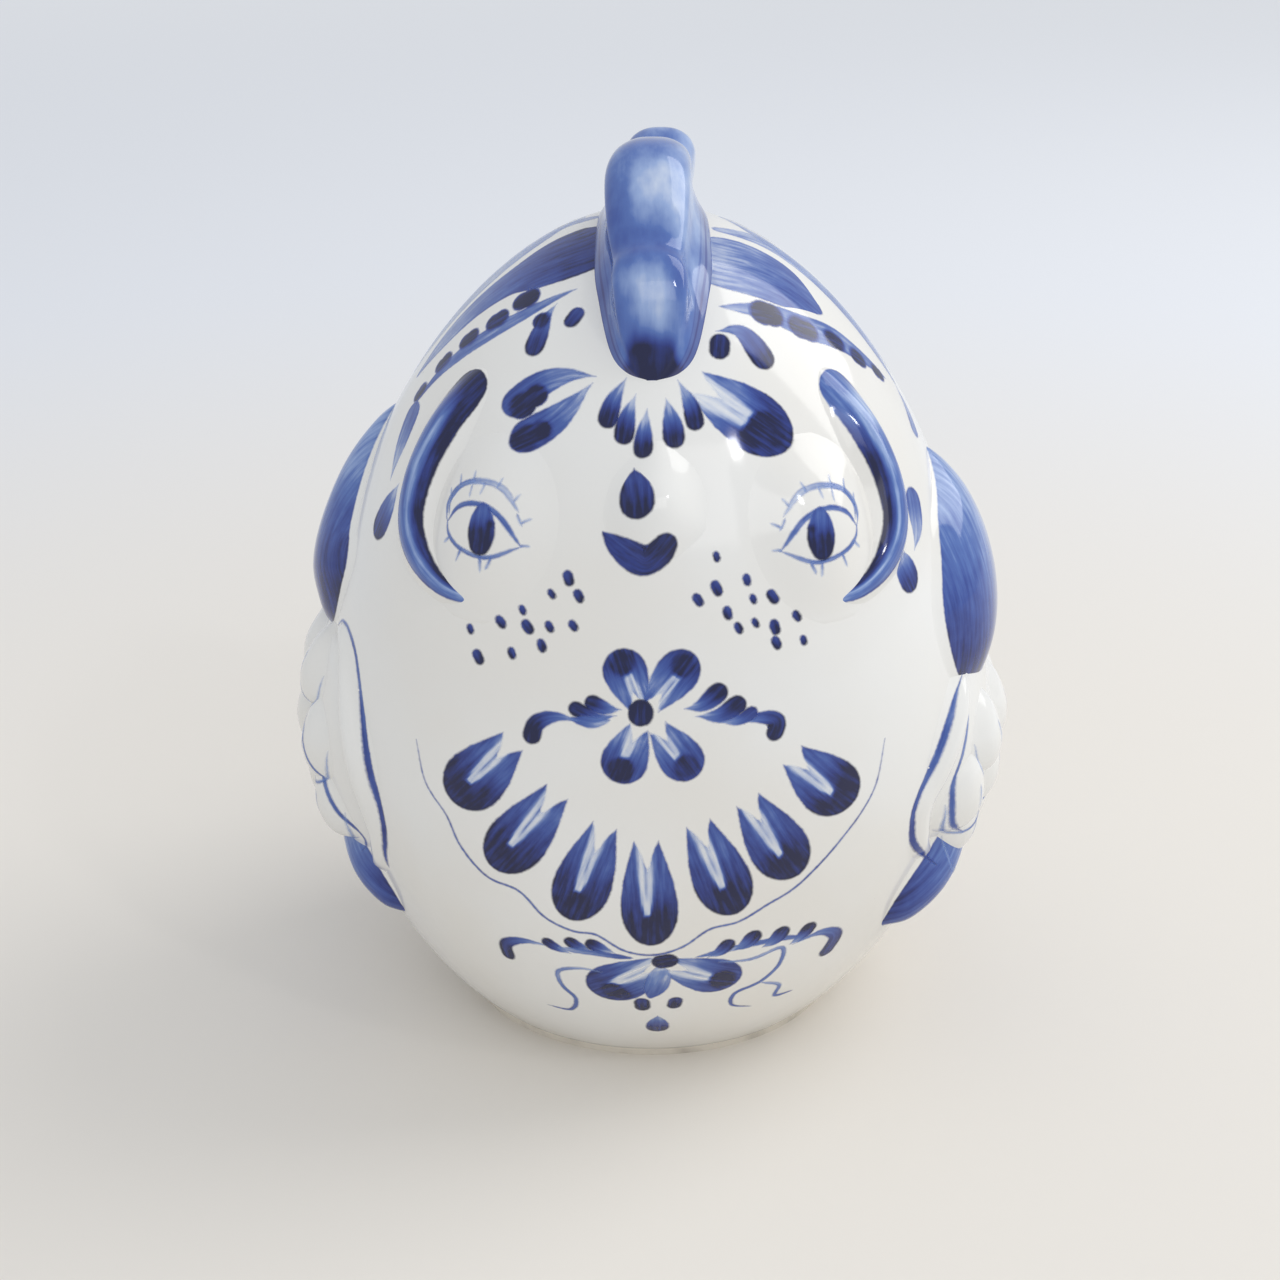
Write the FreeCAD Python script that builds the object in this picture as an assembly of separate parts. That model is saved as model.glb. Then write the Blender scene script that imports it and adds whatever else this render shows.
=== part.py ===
"""Porcelain hen figurine: an egg-shaped hollow body with applied relief pieces.

Millimetres, +Z up. The origin is the centre of the foot's resting face. The hen looks
towards -Y. Left and right are the hen's own, so its left side is on +X. Azimuths are in
degrees, 0 at the front of the breast and positive towards the hen's left.
"""

import FreeCAD, Part
import math
import os

# Driving dimensions of the body
BODY_TOP = 115.0          # crown of the egg above the table
BODY_RADIUS = 45.9        # radius at the egg's middle
BODY_HALF = 62.8          # half of the whole egg's length, the foot cuts its lower end off
EGG_TAPER = 0.089         # how much narrower the crown is than the base
EGG_PINCH = 0.041         # how much the two ends draw in
WALL = 4.0                # thickness of the cast wall and of the floor
FOOT_HEIGHT = 1.2         # unglazed ring that the figurine rests on
FOOT_WIDTH = 4.5
FOOT_BEVEL = 0.4
VENT_RADIUS = 2.5         # firing vent in the middle of the floor
PROFILE_POINTS = 15       # points that the egg's smooth outline is drawn through

# Driving dimensions of the applied pieces
SINK = 0.8                # how far a relief's border dips under the body's surface
ROOT_DEPTH = 2.5          # how far the relief's underside lies inside before it is trimmed
COMB_FOOT_HALF_WIDTH = 7.6
COMB_SET = 0.3            # how deep the comb's foot is bedded in the crown
PANEL_PROUD = 3.0         # the wing's broad pad stands this far out of the body
PANEL_DEPTH = 15.0        # its lens shape's half axes across, along and up the body
PANEL_HALF_LENGTH = 25.0
PANEL_HALF_HEIGHT = 24.0
PANEL_CENTRE_Y = -1.5
PANEL_CENTRE_Z = 46.0
SCALLOP_LIFT = 1.4        # level over the body from which the wing's scallops bulge
SCALLOP_HEIGHT = 2.4      # their bulge over that level
SCALLOP_PITCH = 14.5      # degrees between scallops in a row
TAIL_ROOT_RADIUS = 36.0   # where the tail starts inside the rump
TAIL_ROOT_Z = 56.0
TAIL_HALF_THICKNESS = 3.2

SIDES = {"left": 1, "right": -1}


def vector(x, y, z):
    return FreeCAD.Vector(x, y, z)


# --- the egg that everything sits on ---

def egg_radius(z):
    """Radius of the body's outer surface at height z."""
    s = (z - (BODY_TOP - BODY_HALF)) / BODY_HALF
    round_part = math.sqrt(max(0.0, 1.0 - s * s))
    return BODY_RADIUS * round_part * (1.0 - EGG_TAPER * s - EGG_PINCH * s * s)


def egg_slope(z):
    """Change of the radius with height."""
    step = 0.01
    return (egg_radius(z + step) - egg_radius(z - step)) / (2 * step)


def body_point(azimuth, z, lift=0.0):
    """Point on the body, or lift millimetres out along the surface's normal."""
    angle = math.radians(azimuth)
    outward = vector(math.sin(angle), -math.cos(angle), 0)
    slope = egg_slope(z)
    normal = (outward - vector(0, 0, slope)) * (1.0 / math.sqrt(1.0 + slope * slope))
    return outward * egg_radius(z) + vector(0, 0, z) + normal * lift


def onto_body(point, lift):
    """Move a nearby point level onto the body, then lift it."""
    azimuth = math.degrees(math.atan2(point.x, -point.y))
    return body_point(azimuth, point.z, lift)


def egg_curve(bottom_z, inset):
    """Half outline in the XZ plane from bottom_z up to the axis, inset along the normal."""
    top = BODY_TOP
    start = math.acos((bottom_z - (top - BODY_HALF)) / BODY_HALF)
    points = []
    for i in range(PROFILE_POINTS - 1):
        angle = start * (1.0 - i / (PROFILE_POINTS - 1))
        z = top - BODY_HALF + BODY_HALF * math.cos(angle)
        slope = egg_slope(z)
        length = math.sqrt(1.0 + slope * slope)
        points.append(vector(egg_radius(z) - inset / length, 0, z + inset * slope / length))
    points.append(vector(0, 0, top - inset))
    bottom_slope = egg_slope(bottom_z)
    curve = Part.BSplineCurve()
    curve.interpolate(
        Points=points,
        InitialTangent=vector(bottom_slope, 0, 1),
        FinalTangent=vector(-1, 0, 0),
    )
    return curve, points


def revolve(edges):
    face = Part.Face(Part.Wire(edges))
    return face.revolve(vector(0, 0, 0), vector(0, 0, 1), 360)


def line(start, end):
    return Part.makeLine(start, end)


def solid_egg():
    """The whole outer form down to the table, which trims every applied piece."""
    curve, points = egg_curve(0.0, 0.0)
    return revolve([
        curve.toShape(),
        line(points[-1], vector(0, 0, 0)),
        line(vector(0, 0, 0), points[0]),
    ])


def body_shell():
    """Hollow cast egg with its floor and the firing vent through the floor."""
    outer, outer_points = egg_curve(FOOT_HEIGHT, 0.0)
    floor_top = FOOT_HEIGHT + WALL
    inner, inner_points = egg_curve(floor_top, WALL)
    inner_start = inner_points[0]
    vent_top = vector(VENT_RADIUS, 0, inner_start.z)
    vent_bottom = vector(VENT_RADIUS, 0, FOOT_HEIGHT)
    return revolve([
        line(vent_bottom, outer_points[0]),
        outer.toShape(),
        line(outer_points[-1], inner_points[-1]),
        inner.toShape(),
        line(inner_start, vent_top),
        line(vent_top, vent_bottom),
    ])


def foot_ring():
    """Flat unglazed ring under the floor."""
    outer_top = egg_radius(FOOT_HEIGHT)
    outer = outer_top - FOOT_BEVEL
    inner = outer - FOOT_WIDTH
    return revolve([
        line(vector(inner, 0, 0), vector(outer, 0, 0)),
        line(vector(outer, 0, 0), vector(outer_top, 0, FOOT_HEIGHT)),
        line(vector(outer_top, 0, FOOT_HEIGHT), vector(inner, 0, FOOT_HEIGHT)),
        line(vector(inner, 0, FOOT_HEIGHT), vector(inner, 0, 0)),
    ])


# --- relief pieces that follow the body's surface ---

def closed_spline(points):
    curve = Part.BSplineCurve()
    curve.interpolate(Points=points, PeriodicFlag=True)
    return Part.Wire(curve.toShape())


def relief(stations, side=1, base_lift=0.0):
    """Rounded ridge or pad along a path on the body, pointed at both ends.

    Each station is (azimuth, z, half width, height). The first and last are the tips.
    """
    path = [body_point(side * a, z, base_lift) for a, z, _, _ in stations]
    sections = [Part.Vertex(body_point(side * stations[0][0], stations[0][1], -SINK))]
    for i in range(1, len(stations) - 1):
        azimuth, z, half_width, height = stations[i]
        along = (path[i + 1] - path[i - 1]).normalize()
        normal = (body_point(side * azimuth, z, 1.0) - body_point(side * azimuth, z)).normalize()
        across = along.cross(normal).normalize()
        ring = []
        for t in (-1.0, -0.72, -0.36, 0.0, 0.36, 0.72, 1.0):
            lift = base_lift + height * (1.0 - t * t) - (SINK + base_lift) * t ** 4
            ring.append(onto_body(path[i] + across * (half_width * t), lift))
        for t in (0.6, 0.0, -0.6):
            ring.append(onto_body(path[i] + across * (half_width * t), -ROOT_DEPTH))
        sections.append(closed_spline(ring))
    sections.append(Part.Vertex(body_point(side * stations[-1][0], stations[-1][1], -SINK)))
    return Part.makeLoft(sections, True, False)


def eye_mound(side):
    """Low oval swelling that the eye is painted on."""
    azimuth, centre_z, half_height, half_width, height = 33.4, 81.5, 12.0, 10.5, 1.9
    stations = []
    for step in range(7):
        s = -math.cos(math.pi * step / 6)
        stations.append((azimuth, centre_z + half_height * s,
                         half_width * math.sqrt(1 - s * s), height * math.sqrt(1 - s * s)))
    return relief(stations, side)


def brow_ridge(side):
    """Crescent that runs from the temple round the outer side of the eye to the cheek."""
    return relief([
        (47, 97.0, 0, 0),
        (52, 94.5, 3.4, 2.0),
        (58, 88.5, 4.4, 2.7),
        (60, 81.5, 4.2, 2.6),
        (56, 75.5, 3.4, 2.1),
        (46, 72.0, 2.4, 1.4),
        (32, 72.5, 0, 0),
    ], side)


def beak():
    """Small blunt bump between the eyes."""
    return relief([
        (0, 92.0, 0, 0),
        (0, 89.0, 3.6, 1.6),
        (0, 85.0, 5.2, 3.2),
        (0, 81.5, 4.6, 2.8),
        (0, 78.5, 0, 0),
    ])


def wing_shoulder(side):
    """Smooth teardrop over the top of the wing."""
    return relief([
        (82, 98.0, 0, 0),
        (84, 92.0, 6.5, 1.8),
        (86, 84.0, 11.5, 2.8),
        (86, 76.0, 14.0, 3.4),
        (85, 69.0, 11.5, 3.2),
        (84, 63.5, 0, 0),
    ], side)


def wing_panel(side):
    """Broad lens-shaped pad under the shoulder that carries the small feathers."""
    ball = Part.makeSphere(1.0)
    stretch = FreeCAD.Matrix()
    stretch.scale(PANEL_DEPTH, PANEL_HALF_LENGTH, PANEL_HALF_HEIGHT)
    lens = ball.transformGeometry(stretch)
    centre_x = BODY_RADIUS + PANEL_PROUD - PANEL_DEPTH
    lens.translate(vector(side * centre_x, PANEL_CENTRE_Y, PANEL_CENTRE_Z))
    return lens


def wing_rim(side):
    """Raised band along the wing's front edge."""
    return relief([
        (72, 66.0, 0, 0),
        (68, 61.5, 1.7, 2.6),
        (64, 53.0, 2.0, 2.8),
        (61, 43.0, 2.1, 2.8),
        (60, 34.0, 2.0, 2.6),
        (65, 27.5, 1.7, 2.2),
        (74, 24.5, 0, 0),
    ], side)


def wing_feathers(side, panel):
    """Three rows of rounded scallops on the wing panel."""
    rows = [(59.0, 80.0, 2), (48.5, 75.0, 3), (38.0, 73.0, 3)]
    scallops = []
    for centre_z, first_azimuth, count in rows:
        for i in range(count):
            azimuth = first_azimuth + SCALLOP_PITCH * i
            scallop = relief([
                (azimuth, centre_z + 5.0, 0, 0),
                (azimuth, centre_z + 2.5, 4.4, SCALLOP_HEIGHT),
                (azimuth, centre_z - 1.0, 5.4, SCALLOP_HEIGHT),
                (azimuth, centre_z - 3.5, 4.0, SCALLOP_HEIGHT),
                (azimuth, centre_z - 5.2, 0, 0),
            ], side, SCALLOP_LIFT)
            scallops.append(scallop.cut(panel))
    return Part.makeCompound(scallops)


def wing_tips(side, panel):
    """Four long feather tips that fan out below the panel."""
    tips = []
    for azimuth, lean in ((67, -15), (81, -5), (95, 4), (108, 11)):
        tip = relief([
            (azimuth, 36.0, 0, 0),
            (azimuth + 0.3 * lean, 31.5, 4.4, 2.6),
            (azimuth + 0.7 * lean, 25.5, 4.8, 2.8),
            (azimuth + lean, 20.5, 3.6, 2.0),
            (azimuth + 1.2 * lean, 17.5, 0, 0),
        ], side)
        tips.append(tip.cut(panel))
    return Part.makeCompound(tips)


# --- comb and tail, which stand clear of the body ---

def body_height(x, y):
    """Height of the crown's surface above the point (x, y)."""
    low, high = BODY_TOP - BODY_HALF, BODY_TOP
    for _ in range(40):
        middle = (low + high) / 2
        if egg_radius(middle) > math.hypot(x, y):
            low = middle
        else:
            high = middle
    return low


def comb_section(y, top, half_width, foot_half_width, sway):
    """Closed section of the comb across the crown at y; sway leans its ridge to +X.

    The underside lies on the crown, so the foot needs no trimming.
    """
    outline = [
        (-foot_half_width, 0.0), (-foot_half_width * 0.9, 0.22), (-half_width * 0.95, 0.5),
        (-half_width, 0.74), (-half_width * 0.62, 0.94), (0.0, 1.0),
        (half_width * 0.62, 0.94), (half_width, 0.74), (half_width * 0.95, 0.5),
        (foot_half_width * 0.9, 0.22), (foot_half_width, 0.0), (0.0, 0.0),
    ]
    rise = top - body_height(0.0, y)
    ring = []
    for x, share in outline:
        ring.append(vector(x + sway * share, y, body_height(x, y) - COMB_SET + rise * share))
    return closed_spline(ring)


def comb():
    """Thick wavy comb of three rounded lobes over the crown."""
    foot = COMB_FOOT_HALF_WIDTH
    # y, ridge height, half width near the ridge, half width of the foot, sway
    stations = [
        (-30.6, 105.4, 3.2, 3.6, 0.0),
        (-29.2, 109.4, 5.2, 6.0, 0.0),
        (-26.0, 113.4, 6.4, foot, 0.0),
        (-22.5, 115.4, 6.2, foot, 0.0),
        (-19.0, 115.8, 5.4, foot, 0.1),
        (-14.5, 121.0, 6.3, foot, 0.3),
        (-7.5, 125.4, 6.8, foot, 0.6),
        (0.0, 124.6, 6.2, 7.2, 0.9),
        (5.5, 121.6, 5.3, 6.8, 1.2),
        (11.0, 122.4, 5.6, 6.6, 1.5),
        (16.5, 120.6, 5.5, 6.2, 1.6),
        (21.5, 114.6, 4.4, 5.2, 1.2),
        (24.5, 109.0, 2.8, 3.4, 0.6),
    ]
    sections = [comb_section(*station) for station in stations]
    front_tip = Part.Vertex(vector(0, -31.2, 99.0))
    rear_tip = Part.Vertex(vector(0, 26.0, 101.6))
    return Part.makeLoft([front_tip] + sections + [rear_tip], True, False)


def tail_feather(azimuth, reach, tip_z, half_width):
    """One upswept feather of the tail, from inside the rump out to its rounded tip."""
    angle = math.radians(azimuth)
    outward = vector(math.sin(angle), -math.cos(angle), 0)
    level = vector(math.cos(angle), math.sin(angle), 0)

    def centre(s):
        radius = TAIL_ROOT_RADIUS + (reach - TAIL_ROOT_RADIUS) * math.sin(s * math.pi / 2)
        return outward * radius + vector(0, 0, TAIL_ROOT_Z + (tip_z - TAIL_ROOT_Z) * s ** 1.3)

    sections = []
    for s, share in ((0.0, 1.0), (0.25, 1.0), (0.5, 1.0), (0.72, 0.95), (0.88, 0.72), (0.96, 0.4)):
        along = (centre(s + 0.02) - centre(s - 0.02 if s > 0.02 else 0.0)).normalize()
        thick = along.cross(level).normalize()
        ring = []
        for step in range(8):
            turn = 2 * math.pi * step / 8
            across = level * (half_width * share * math.cos(turn))
            ring.append(centre(s) + across + thick * (TAIL_HALF_THICKNESS * share * math.sin(turn)))
        sections.append(closed_spline(ring))
    sections.append(Part.Vertex(centre(1.0)))
    return Part.makeLoft(sections, True, False)


def tail():
    """Short upswept tail of three rounded feathers in one piece."""
    middle = tail_feather(180, 55.0, 84.0, 7.5)
    sides = [tail_feather(180 + turn, 53.0, 77.0, 7.0) for turn in (-13, 13)]
    return middle.fuse(sides)


def save(name, shape):
    volume = shape.Volume
    print(name, "valid", shape.isValid(), "solids", len(shape.Solids), "cm3", round(volume / 1000, 2))
    shape.exportStep("parts/" + name + ".step")


def main():
    os.makedirs("parts", exist_ok=True)
    egg = solid_egg()
    save("body_shell", body_shell())
    save("foot_ring", foot_ring())
    save("comb", comb())
    save("beak", beak().cut(egg))
    save("tail", tail().cut(egg))
    for name, side in SIDES.items():
        save(name + "_eye_mound", eye_mound(side).cut(egg))
        save(name + "_brow_ridge", brow_ridge(side).cut(egg))
        shoulder = wing_shoulder(side)
        panel = wing_panel(side)
        save(name + "_wing_shoulder", shoulder.cut(egg))
        save(name + "_wing_panel", panel.cut(shoulder).cut(egg))
        save(name + "_wing_rim", wing_rim(side).cut([shoulder, panel]).cut(egg))
        save(name + "_wing_feathers", wing_feathers(side, panel))
        save(name + "_wing_tips", wing_tips(side, panel).cut(egg))


main()
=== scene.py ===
"""Porcelain hen figurine: white glazed porcelain with brush painting in cobalt blue.

Shapes are worked out in millimetres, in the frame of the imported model, and turned into
metres when a mesh is made. Azimuths are in degrees, 0 at the front and positive towards
+X. A painted or raised piece is laid out on a flat sheet that touches the body at an
anchor, (azimuth, height), and is then pressed onto the body along the sheet's normal.
"""

import math

import bpy
import numpy as np
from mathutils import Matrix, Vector
from mathutils.bvhtree import BVHTree


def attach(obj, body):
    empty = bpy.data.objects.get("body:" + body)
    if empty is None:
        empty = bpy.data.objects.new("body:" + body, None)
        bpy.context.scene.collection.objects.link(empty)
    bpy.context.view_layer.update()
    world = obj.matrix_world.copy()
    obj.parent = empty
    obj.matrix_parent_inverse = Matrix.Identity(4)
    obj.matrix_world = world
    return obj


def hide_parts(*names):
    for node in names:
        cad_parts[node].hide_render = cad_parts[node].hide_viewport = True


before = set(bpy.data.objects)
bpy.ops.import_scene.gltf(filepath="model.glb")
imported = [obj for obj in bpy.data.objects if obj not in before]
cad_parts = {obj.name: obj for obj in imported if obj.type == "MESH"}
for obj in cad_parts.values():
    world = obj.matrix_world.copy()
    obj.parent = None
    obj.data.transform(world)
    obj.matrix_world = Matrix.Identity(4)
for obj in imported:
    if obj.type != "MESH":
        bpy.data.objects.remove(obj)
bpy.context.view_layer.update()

MM = 0.001
UP = np.array([0.0, 0.0, 1.0])

# The body, as the CAD model has it
BODY_TOP = 115.0
BODY_RADIUS = 45.9
BODY_HALF = 62.8
EGG_TAPER = 0.089
EGG_PINCH = 0.041
WALL = 4.0
FOOT_HEIGHT = 1.2
VENT_RADIUS = 2.5
PRESS_STEPS = 40          # steps in which a flat point is brought onto the body
CURVE_STEPS = 24          # points between two stations before a path is made even

# Raised pieces
SUNK = 0.12               # how far the border of a raised piece lies under the surface
BURIED = 1.6              # how far its underside lies under the surface
RAISED_SPACING = 0.55     # mesh spacing of raised pieces
SEARCH_REACH = 9.0        # how far over the body a raised surface is looked for

# Painting
PAINT_SPACING = 0.32      # mesh spacing of brush strokes
PAINT_MARGIN = 0.32       # bare border round each stroke, where its edge fades out
LEAST_REACH = 0.05        # half width of the outermost row of a stroke's sheet
PAINT_LIFT = 0.022        # the first stroke's height over the surface it is painted on
PAINT_LAYER = 0.005       # further height of each later stroke
PAINT_LAYERS = 12         # strokes before the height starts again
PAINT_DEPTH = 0.12        # how far a stroke's closed underside lies under the surface
BARE = -9.0               # edge value of a vertex without paint
DAB_LOAD = 0.98           # pigment of a dark dab that runs into a stroke
STREAK_SHIFT = 13.7       # further along the brush streaks for each later stroke

LEFT, RIGHT = 1, -1       # the hen's own sides
SIDE_NAMES = {LEFT: "left", RIGHT: "right"}

porcelain_surface = []    # (vertices, faces) of everything that can be painted on


# ---------------------------------------------------------------- the body's surface

def egg_radius(z):
    """Radius of the body at height z."""
    s = (np.asarray(z, float) - (BODY_TOP - BODY_HALF)) / BODY_HALF
    return BODY_RADIUS * np.sqrt(np.clip(1 - s * s, 0, None)) * (1 - EGG_TAPER * s - EGG_PINCH * s * s)


def egg_slope(z):
    """Change of the radius with height."""
    z = np.clip(z, 0, BODY_TOP - 0.02)
    return (egg_radius(z + 0.01) - egg_radius(z - 0.01)) / 0.02


def on_body(azimuth, z):
    """Points and outward normals of the body."""
    angle = np.radians(np.asarray(azimuth, float))
    z = np.asarray(z, float) + 0 * angle
    outward = np.stack([np.sin(angle), -np.cos(angle), 0 * angle], -1)
    slope = egg_slope(z)[..., None]
    normal = (outward - slope * UP) / np.sqrt(1 + slope * slope)
    return outward * egg_radius(z)[..., None] + z[..., None] * UP, normal


def sheet_frame(anchor):
    """Touching point, right, up and normal of the flat sheet at an anchor."""
    point, normal = on_body(*anchor)
    angle = math.radians(anchor[0])
    right = np.array([math.cos(angle), math.sin(angle), 0.0])
    return point, right, np.cross(normal, right), normal


def press(anchor, flat):
    """Press points of the flat sheet onto the body. Gives points and normals."""
    origin, right, up, normal = sheet_frame(anchor)
    loose = origin + flat[..., :1] * right + flat[..., 1:2] * up
    depth = np.zeros(flat.shape[:-1])
    for _ in range(PRESS_STEPS):
        points = loose - depth[..., None] * normal
        gap = np.hypot(points[..., 0], points[..., 1]) - egg_radius(points[..., 2])
        slope = egg_slope(points[..., 2])
        depth = depth + gap / np.sqrt(1 + slope * slope)
    points = loose - depth[..., None] * normal
    azimuth = np.degrees(np.arctan2(points[..., 0], -points[..., 1]))
    return on_body(azimuth, np.clip(points[..., 2], 0, BODY_TOP - 0.001))


def flatten(anchor, stations, side=1):
    """Stations (azimuth, z, ...) as stations (right, up, ...) on the anchor's sheet."""
    stations = np.array(stations, float)
    stations[:, 0] *= side
    origin, right, up, _ = sheet_frame(anchor)
    offset = on_body(stations[:, 0], stations[:, 1])[0] - origin
    return np.column_stack([offset @ right, offset @ up, stations[:, 2:]])


# ---------------------------------------------------------------- paths and profiles

def smooth_path(stations, spacing):
    """Even stations along a smooth curve through the given ones."""
    stations = np.array(stations, float)
    ends = [2 * stations[0] - stations[1], 2 * stations[-1] - stations[-2]]
    knots = np.vstack([ends[0], stations, ends[1]])
    t = np.linspace(0, 1, CURVE_STEPS, endpoint=False)[:, None]
    runs = []
    for a, b, c, d in zip(knots, knots[1:], knots[2:], knots[3:]):
        runs.append(0.5 * (2 * b + (c - a) * t + (2 * a - 5 * b + 4 * c - d) * t ** 2
                           + (3 * b - a - 3 * c + d) * t ** 3))
    fine = np.vstack(runs + [stations[-1:]])
    length = np.concatenate([[0], np.cumsum(np.linalg.norm(np.diff(fine[:, :2], axis=0), axis=1))])
    count = max(8, int(length[-1] / spacing) + 2)
    even = np.linspace(0, length[-1], count)
    return np.column_stack([np.interp(even, length, column) for column in fine.T]), even


def round_end(u, start):
    """1 up to start, then a round end at u = 1."""
    return np.sqrt(np.clip(1 - np.clip((u - start) / (1 - start), 0, 1) ** 2, 0, 1))


def smoothstep(low, high, x):
    """0 at low and before, 1 at high and beyond, smooth between. low may be the larger."""
    t = np.clip((x - low) / (high - low), 0, 1)
    return t * t * (3 - 2 * t)


# Half width along a stroke as a share of its width, and whether its ends are round
STROKE_SHAPES = {
    # a brush touched down lightly and pressed to a round end
    "drop": (lambda u: 0.5 * np.sin(np.pi / 2 * np.clip(u / 0.95, 0, 1)) ** 1.25, False, True),
    # pointed at both ends
    "leaf": (lambda u: 0.5 * np.sin(np.pi * np.clip(u, 0, 1)) ** 0.8, False, False),
    # one dab of the brush
    "dot": (lambda u: 0.5 + 0 * u, True, True),
    # an even line that thins at its ends
    "line": (lambda u: 0.5 * np.clip(np.minimum(u * 5, (1 - u) * 5), 0, 1) ** 0.6, False, False),
    # widths given with the points
    "given": (None, False, False),
}


def path_sides(path):
    """Unit directions across the path, to its left, and along it, at each station."""
    along = np.gradient(path[:, :2], axis=0)
    along = along / np.maximum(np.linalg.norm(along, axis=1, keepdims=True), 1e-9)
    return np.column_stack([-along[:, 1], along[:, 0]]), along


# ---------------------------------------------------------------- meshes

def grid_faces(rows, columns, closed=False):
    """Quads of a grid of vertices numbered row by row."""
    wrap = columns if closed else columns - 1
    i, j = np.meshgrid(np.arange(rows - 1), np.arange(wrap), indexing="ij")
    k = (j + 1) % columns
    quads = [i * columns + j, i * columns + k, (i + 1) * columns + k, (i + 1) * columns + j]
    return np.stack(quads, -1).reshape(-1, 4)


def border_loop(rows, columns):
    """Vertex numbers round the border of an open grid."""
    first = list(range(columns))
    right = [i * columns + columns - 1 for i in range(1, rows)]
    last = [(rows - 1) * columns + j for j in range(columns - 2, -1, -1)]
    left = [i * columns for i in range(rows - 2, 0, -1)]
    return first + right + last + left


def closed_sheet(top, bottom, rows, columns):
    """Top and bottom grids joined by a wall. Their top borders stay separate vertices."""
    count = rows * columns
    border = np.array(border_loop(rows, columns))
    rim = 2 * count + np.arange(len(border))
    following = np.roll(np.arange(len(border)), -1)
    quads = grid_faces(rows, columns)
    wall = np.column_stack([rim, count + border, count + border[following], rim[following]])
    vertices = np.vstack([top.reshape(-1, 3), bottom.reshape(-1, 3), top.reshape(-1, 3)[border]])
    return vertices, [quads[:, ::-1], quads + count, wall[:, ::-1]]


class Builder:
    """Gathers vertices, faces and paint values, and makes one object of them."""

    def __init__(self):
        self.vertices, self.faces, self.values = [], [], []
        self.count = 0

    def add(self, vertices, faces, values):
        """values has a row of edge, load, along, across for each vertex."""
        self.vertices.append(vertices)
        self.faces += [tuple(int(v) + self.count for v in face) for group in faces for face in group]
        self.values.append(values)
        self.count += len(vertices)

    def finish(self, name, material):
        """The gathered mesh as an object on the root body."""
        vertices = np.vstack(self.vertices)
        mesh = bpy.data.meshes.new(name)
        mesh.from_pydata((vertices * MM).tolist(), [], self.faces)
        values = np.vstack(self.values)
        for column, label in enumerate(("edge", "load", "along", "across")):
            attribute = mesh.attributes.new(label, "FLOAT", "POINT")
            attribute.data.foreach_set("value", values[:, column].astype(np.float32))
        mesh.shade_smooth()
        mesh.materials.append(material)
        piece = bpy.data.objects.new(name, mesh)
        bpy.context.scene.collection.objects.link(piece)
        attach(piece, "root")
        return piece


def remember(vertices, faces):
    """Let later strokes find this surface."""
    flat_list = [tuple(int(v) for v in face) for group in faces for face in group]
    porcelain_surface.append((vertices, flat_list))


def surface_tree():
    """Search tree of every surface remembered so far."""
    vertices, faces, start = [], [], 0
    for part, part_faces in porcelain_surface:
        vertices += part.tolist()
        faces += [tuple(v + start for v in face) for face in part_faces]
        start += len(part)
    return BVHTree.FromPolygons(vertices, faces)


def rise_over_body(tree, points, normals):
    """How far the painted surface stands over the body at each grid point."""
    rises = np.zeros(points.shape[:-1])
    for index in np.ndindex(rises.shape):
        start = Vector(points[index] + normals[index] * SEARCH_REACH)
        depth = tree.ray_cast(start, Vector(-normals[index]), SEARCH_REACH + 1)[3]
        if depth is not None:
            rises[index] = SEARCH_REACH - depth
    rises[rises < 0.02] = 0
    return rises


# ---------------------------------------------------------------- raised pieces

def raised(builder, anchor, stations, crown=2.0, over=None, paint=None):
    """A raised piece that swells out of the body and fades into it at its border.

    Each station is (right, up, half width, height) on the anchor's sheet. crown shapes the
    cross-section: 2 is a round bell, more is a flatter pad. over is the tree of a surface
    that it lies on. paint, if any, gives the edge and load of its colour from the share
    across, the share along and the half width.
    """
    path, even = smooth_path(stations, RAISED_SPACING)
    half = np.maximum(path[:, 2], 0.05)
    height = np.maximum(path[:, 3], 0)
    sides, _ = path_sides(path)
    columns = 2 * max(4, int(half.max() / RAISED_SPACING)) + 1
    share = np.linspace(-1, 1, columns)
    flat = path[:, None, :2] + sides[:, None, :] * (half[:, None] * share)[..., None]
    points, normals = press(anchor, flat)
    bell = (1 - np.abs(share) ** crown) ** 2
    rise = height[:, None] * bell - SUNK * share ** 8
    if over is None:
        rise[[0, -1]] = np.minimum(rise[[0, -1]], -SUNK)
    else:
        rise = rise + rise_over_body(over, points, normals)
    top = points + normals * rise[..., None]
    bottom = points - normals * BURIED
    vertices, faces = closed_sheet(top, bottom, len(path), columns)
    values = np.tile([BARE, 0, 0, 0], (len(vertices), 1))
    count = len(path) * columns
    u = (even / even[-1])[:, None] + 0 * share
    if paint is not None:
        edge, load = paint(share + 0 * u, u, half[:, None] + 0 * u)
        values[:count, 0] = edge.ravel()
        values[:count, 1] = load.ravel()
    values[:count, 2] = (even[:, None] + 0 * share).ravel()
    values[:count, 3] = (half[:, None] * share).ravel()
    builder.add(vertices, faces, values)
    remember(vertices, faces)


# ---------------------------------------------------------------- brush strokes

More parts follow.
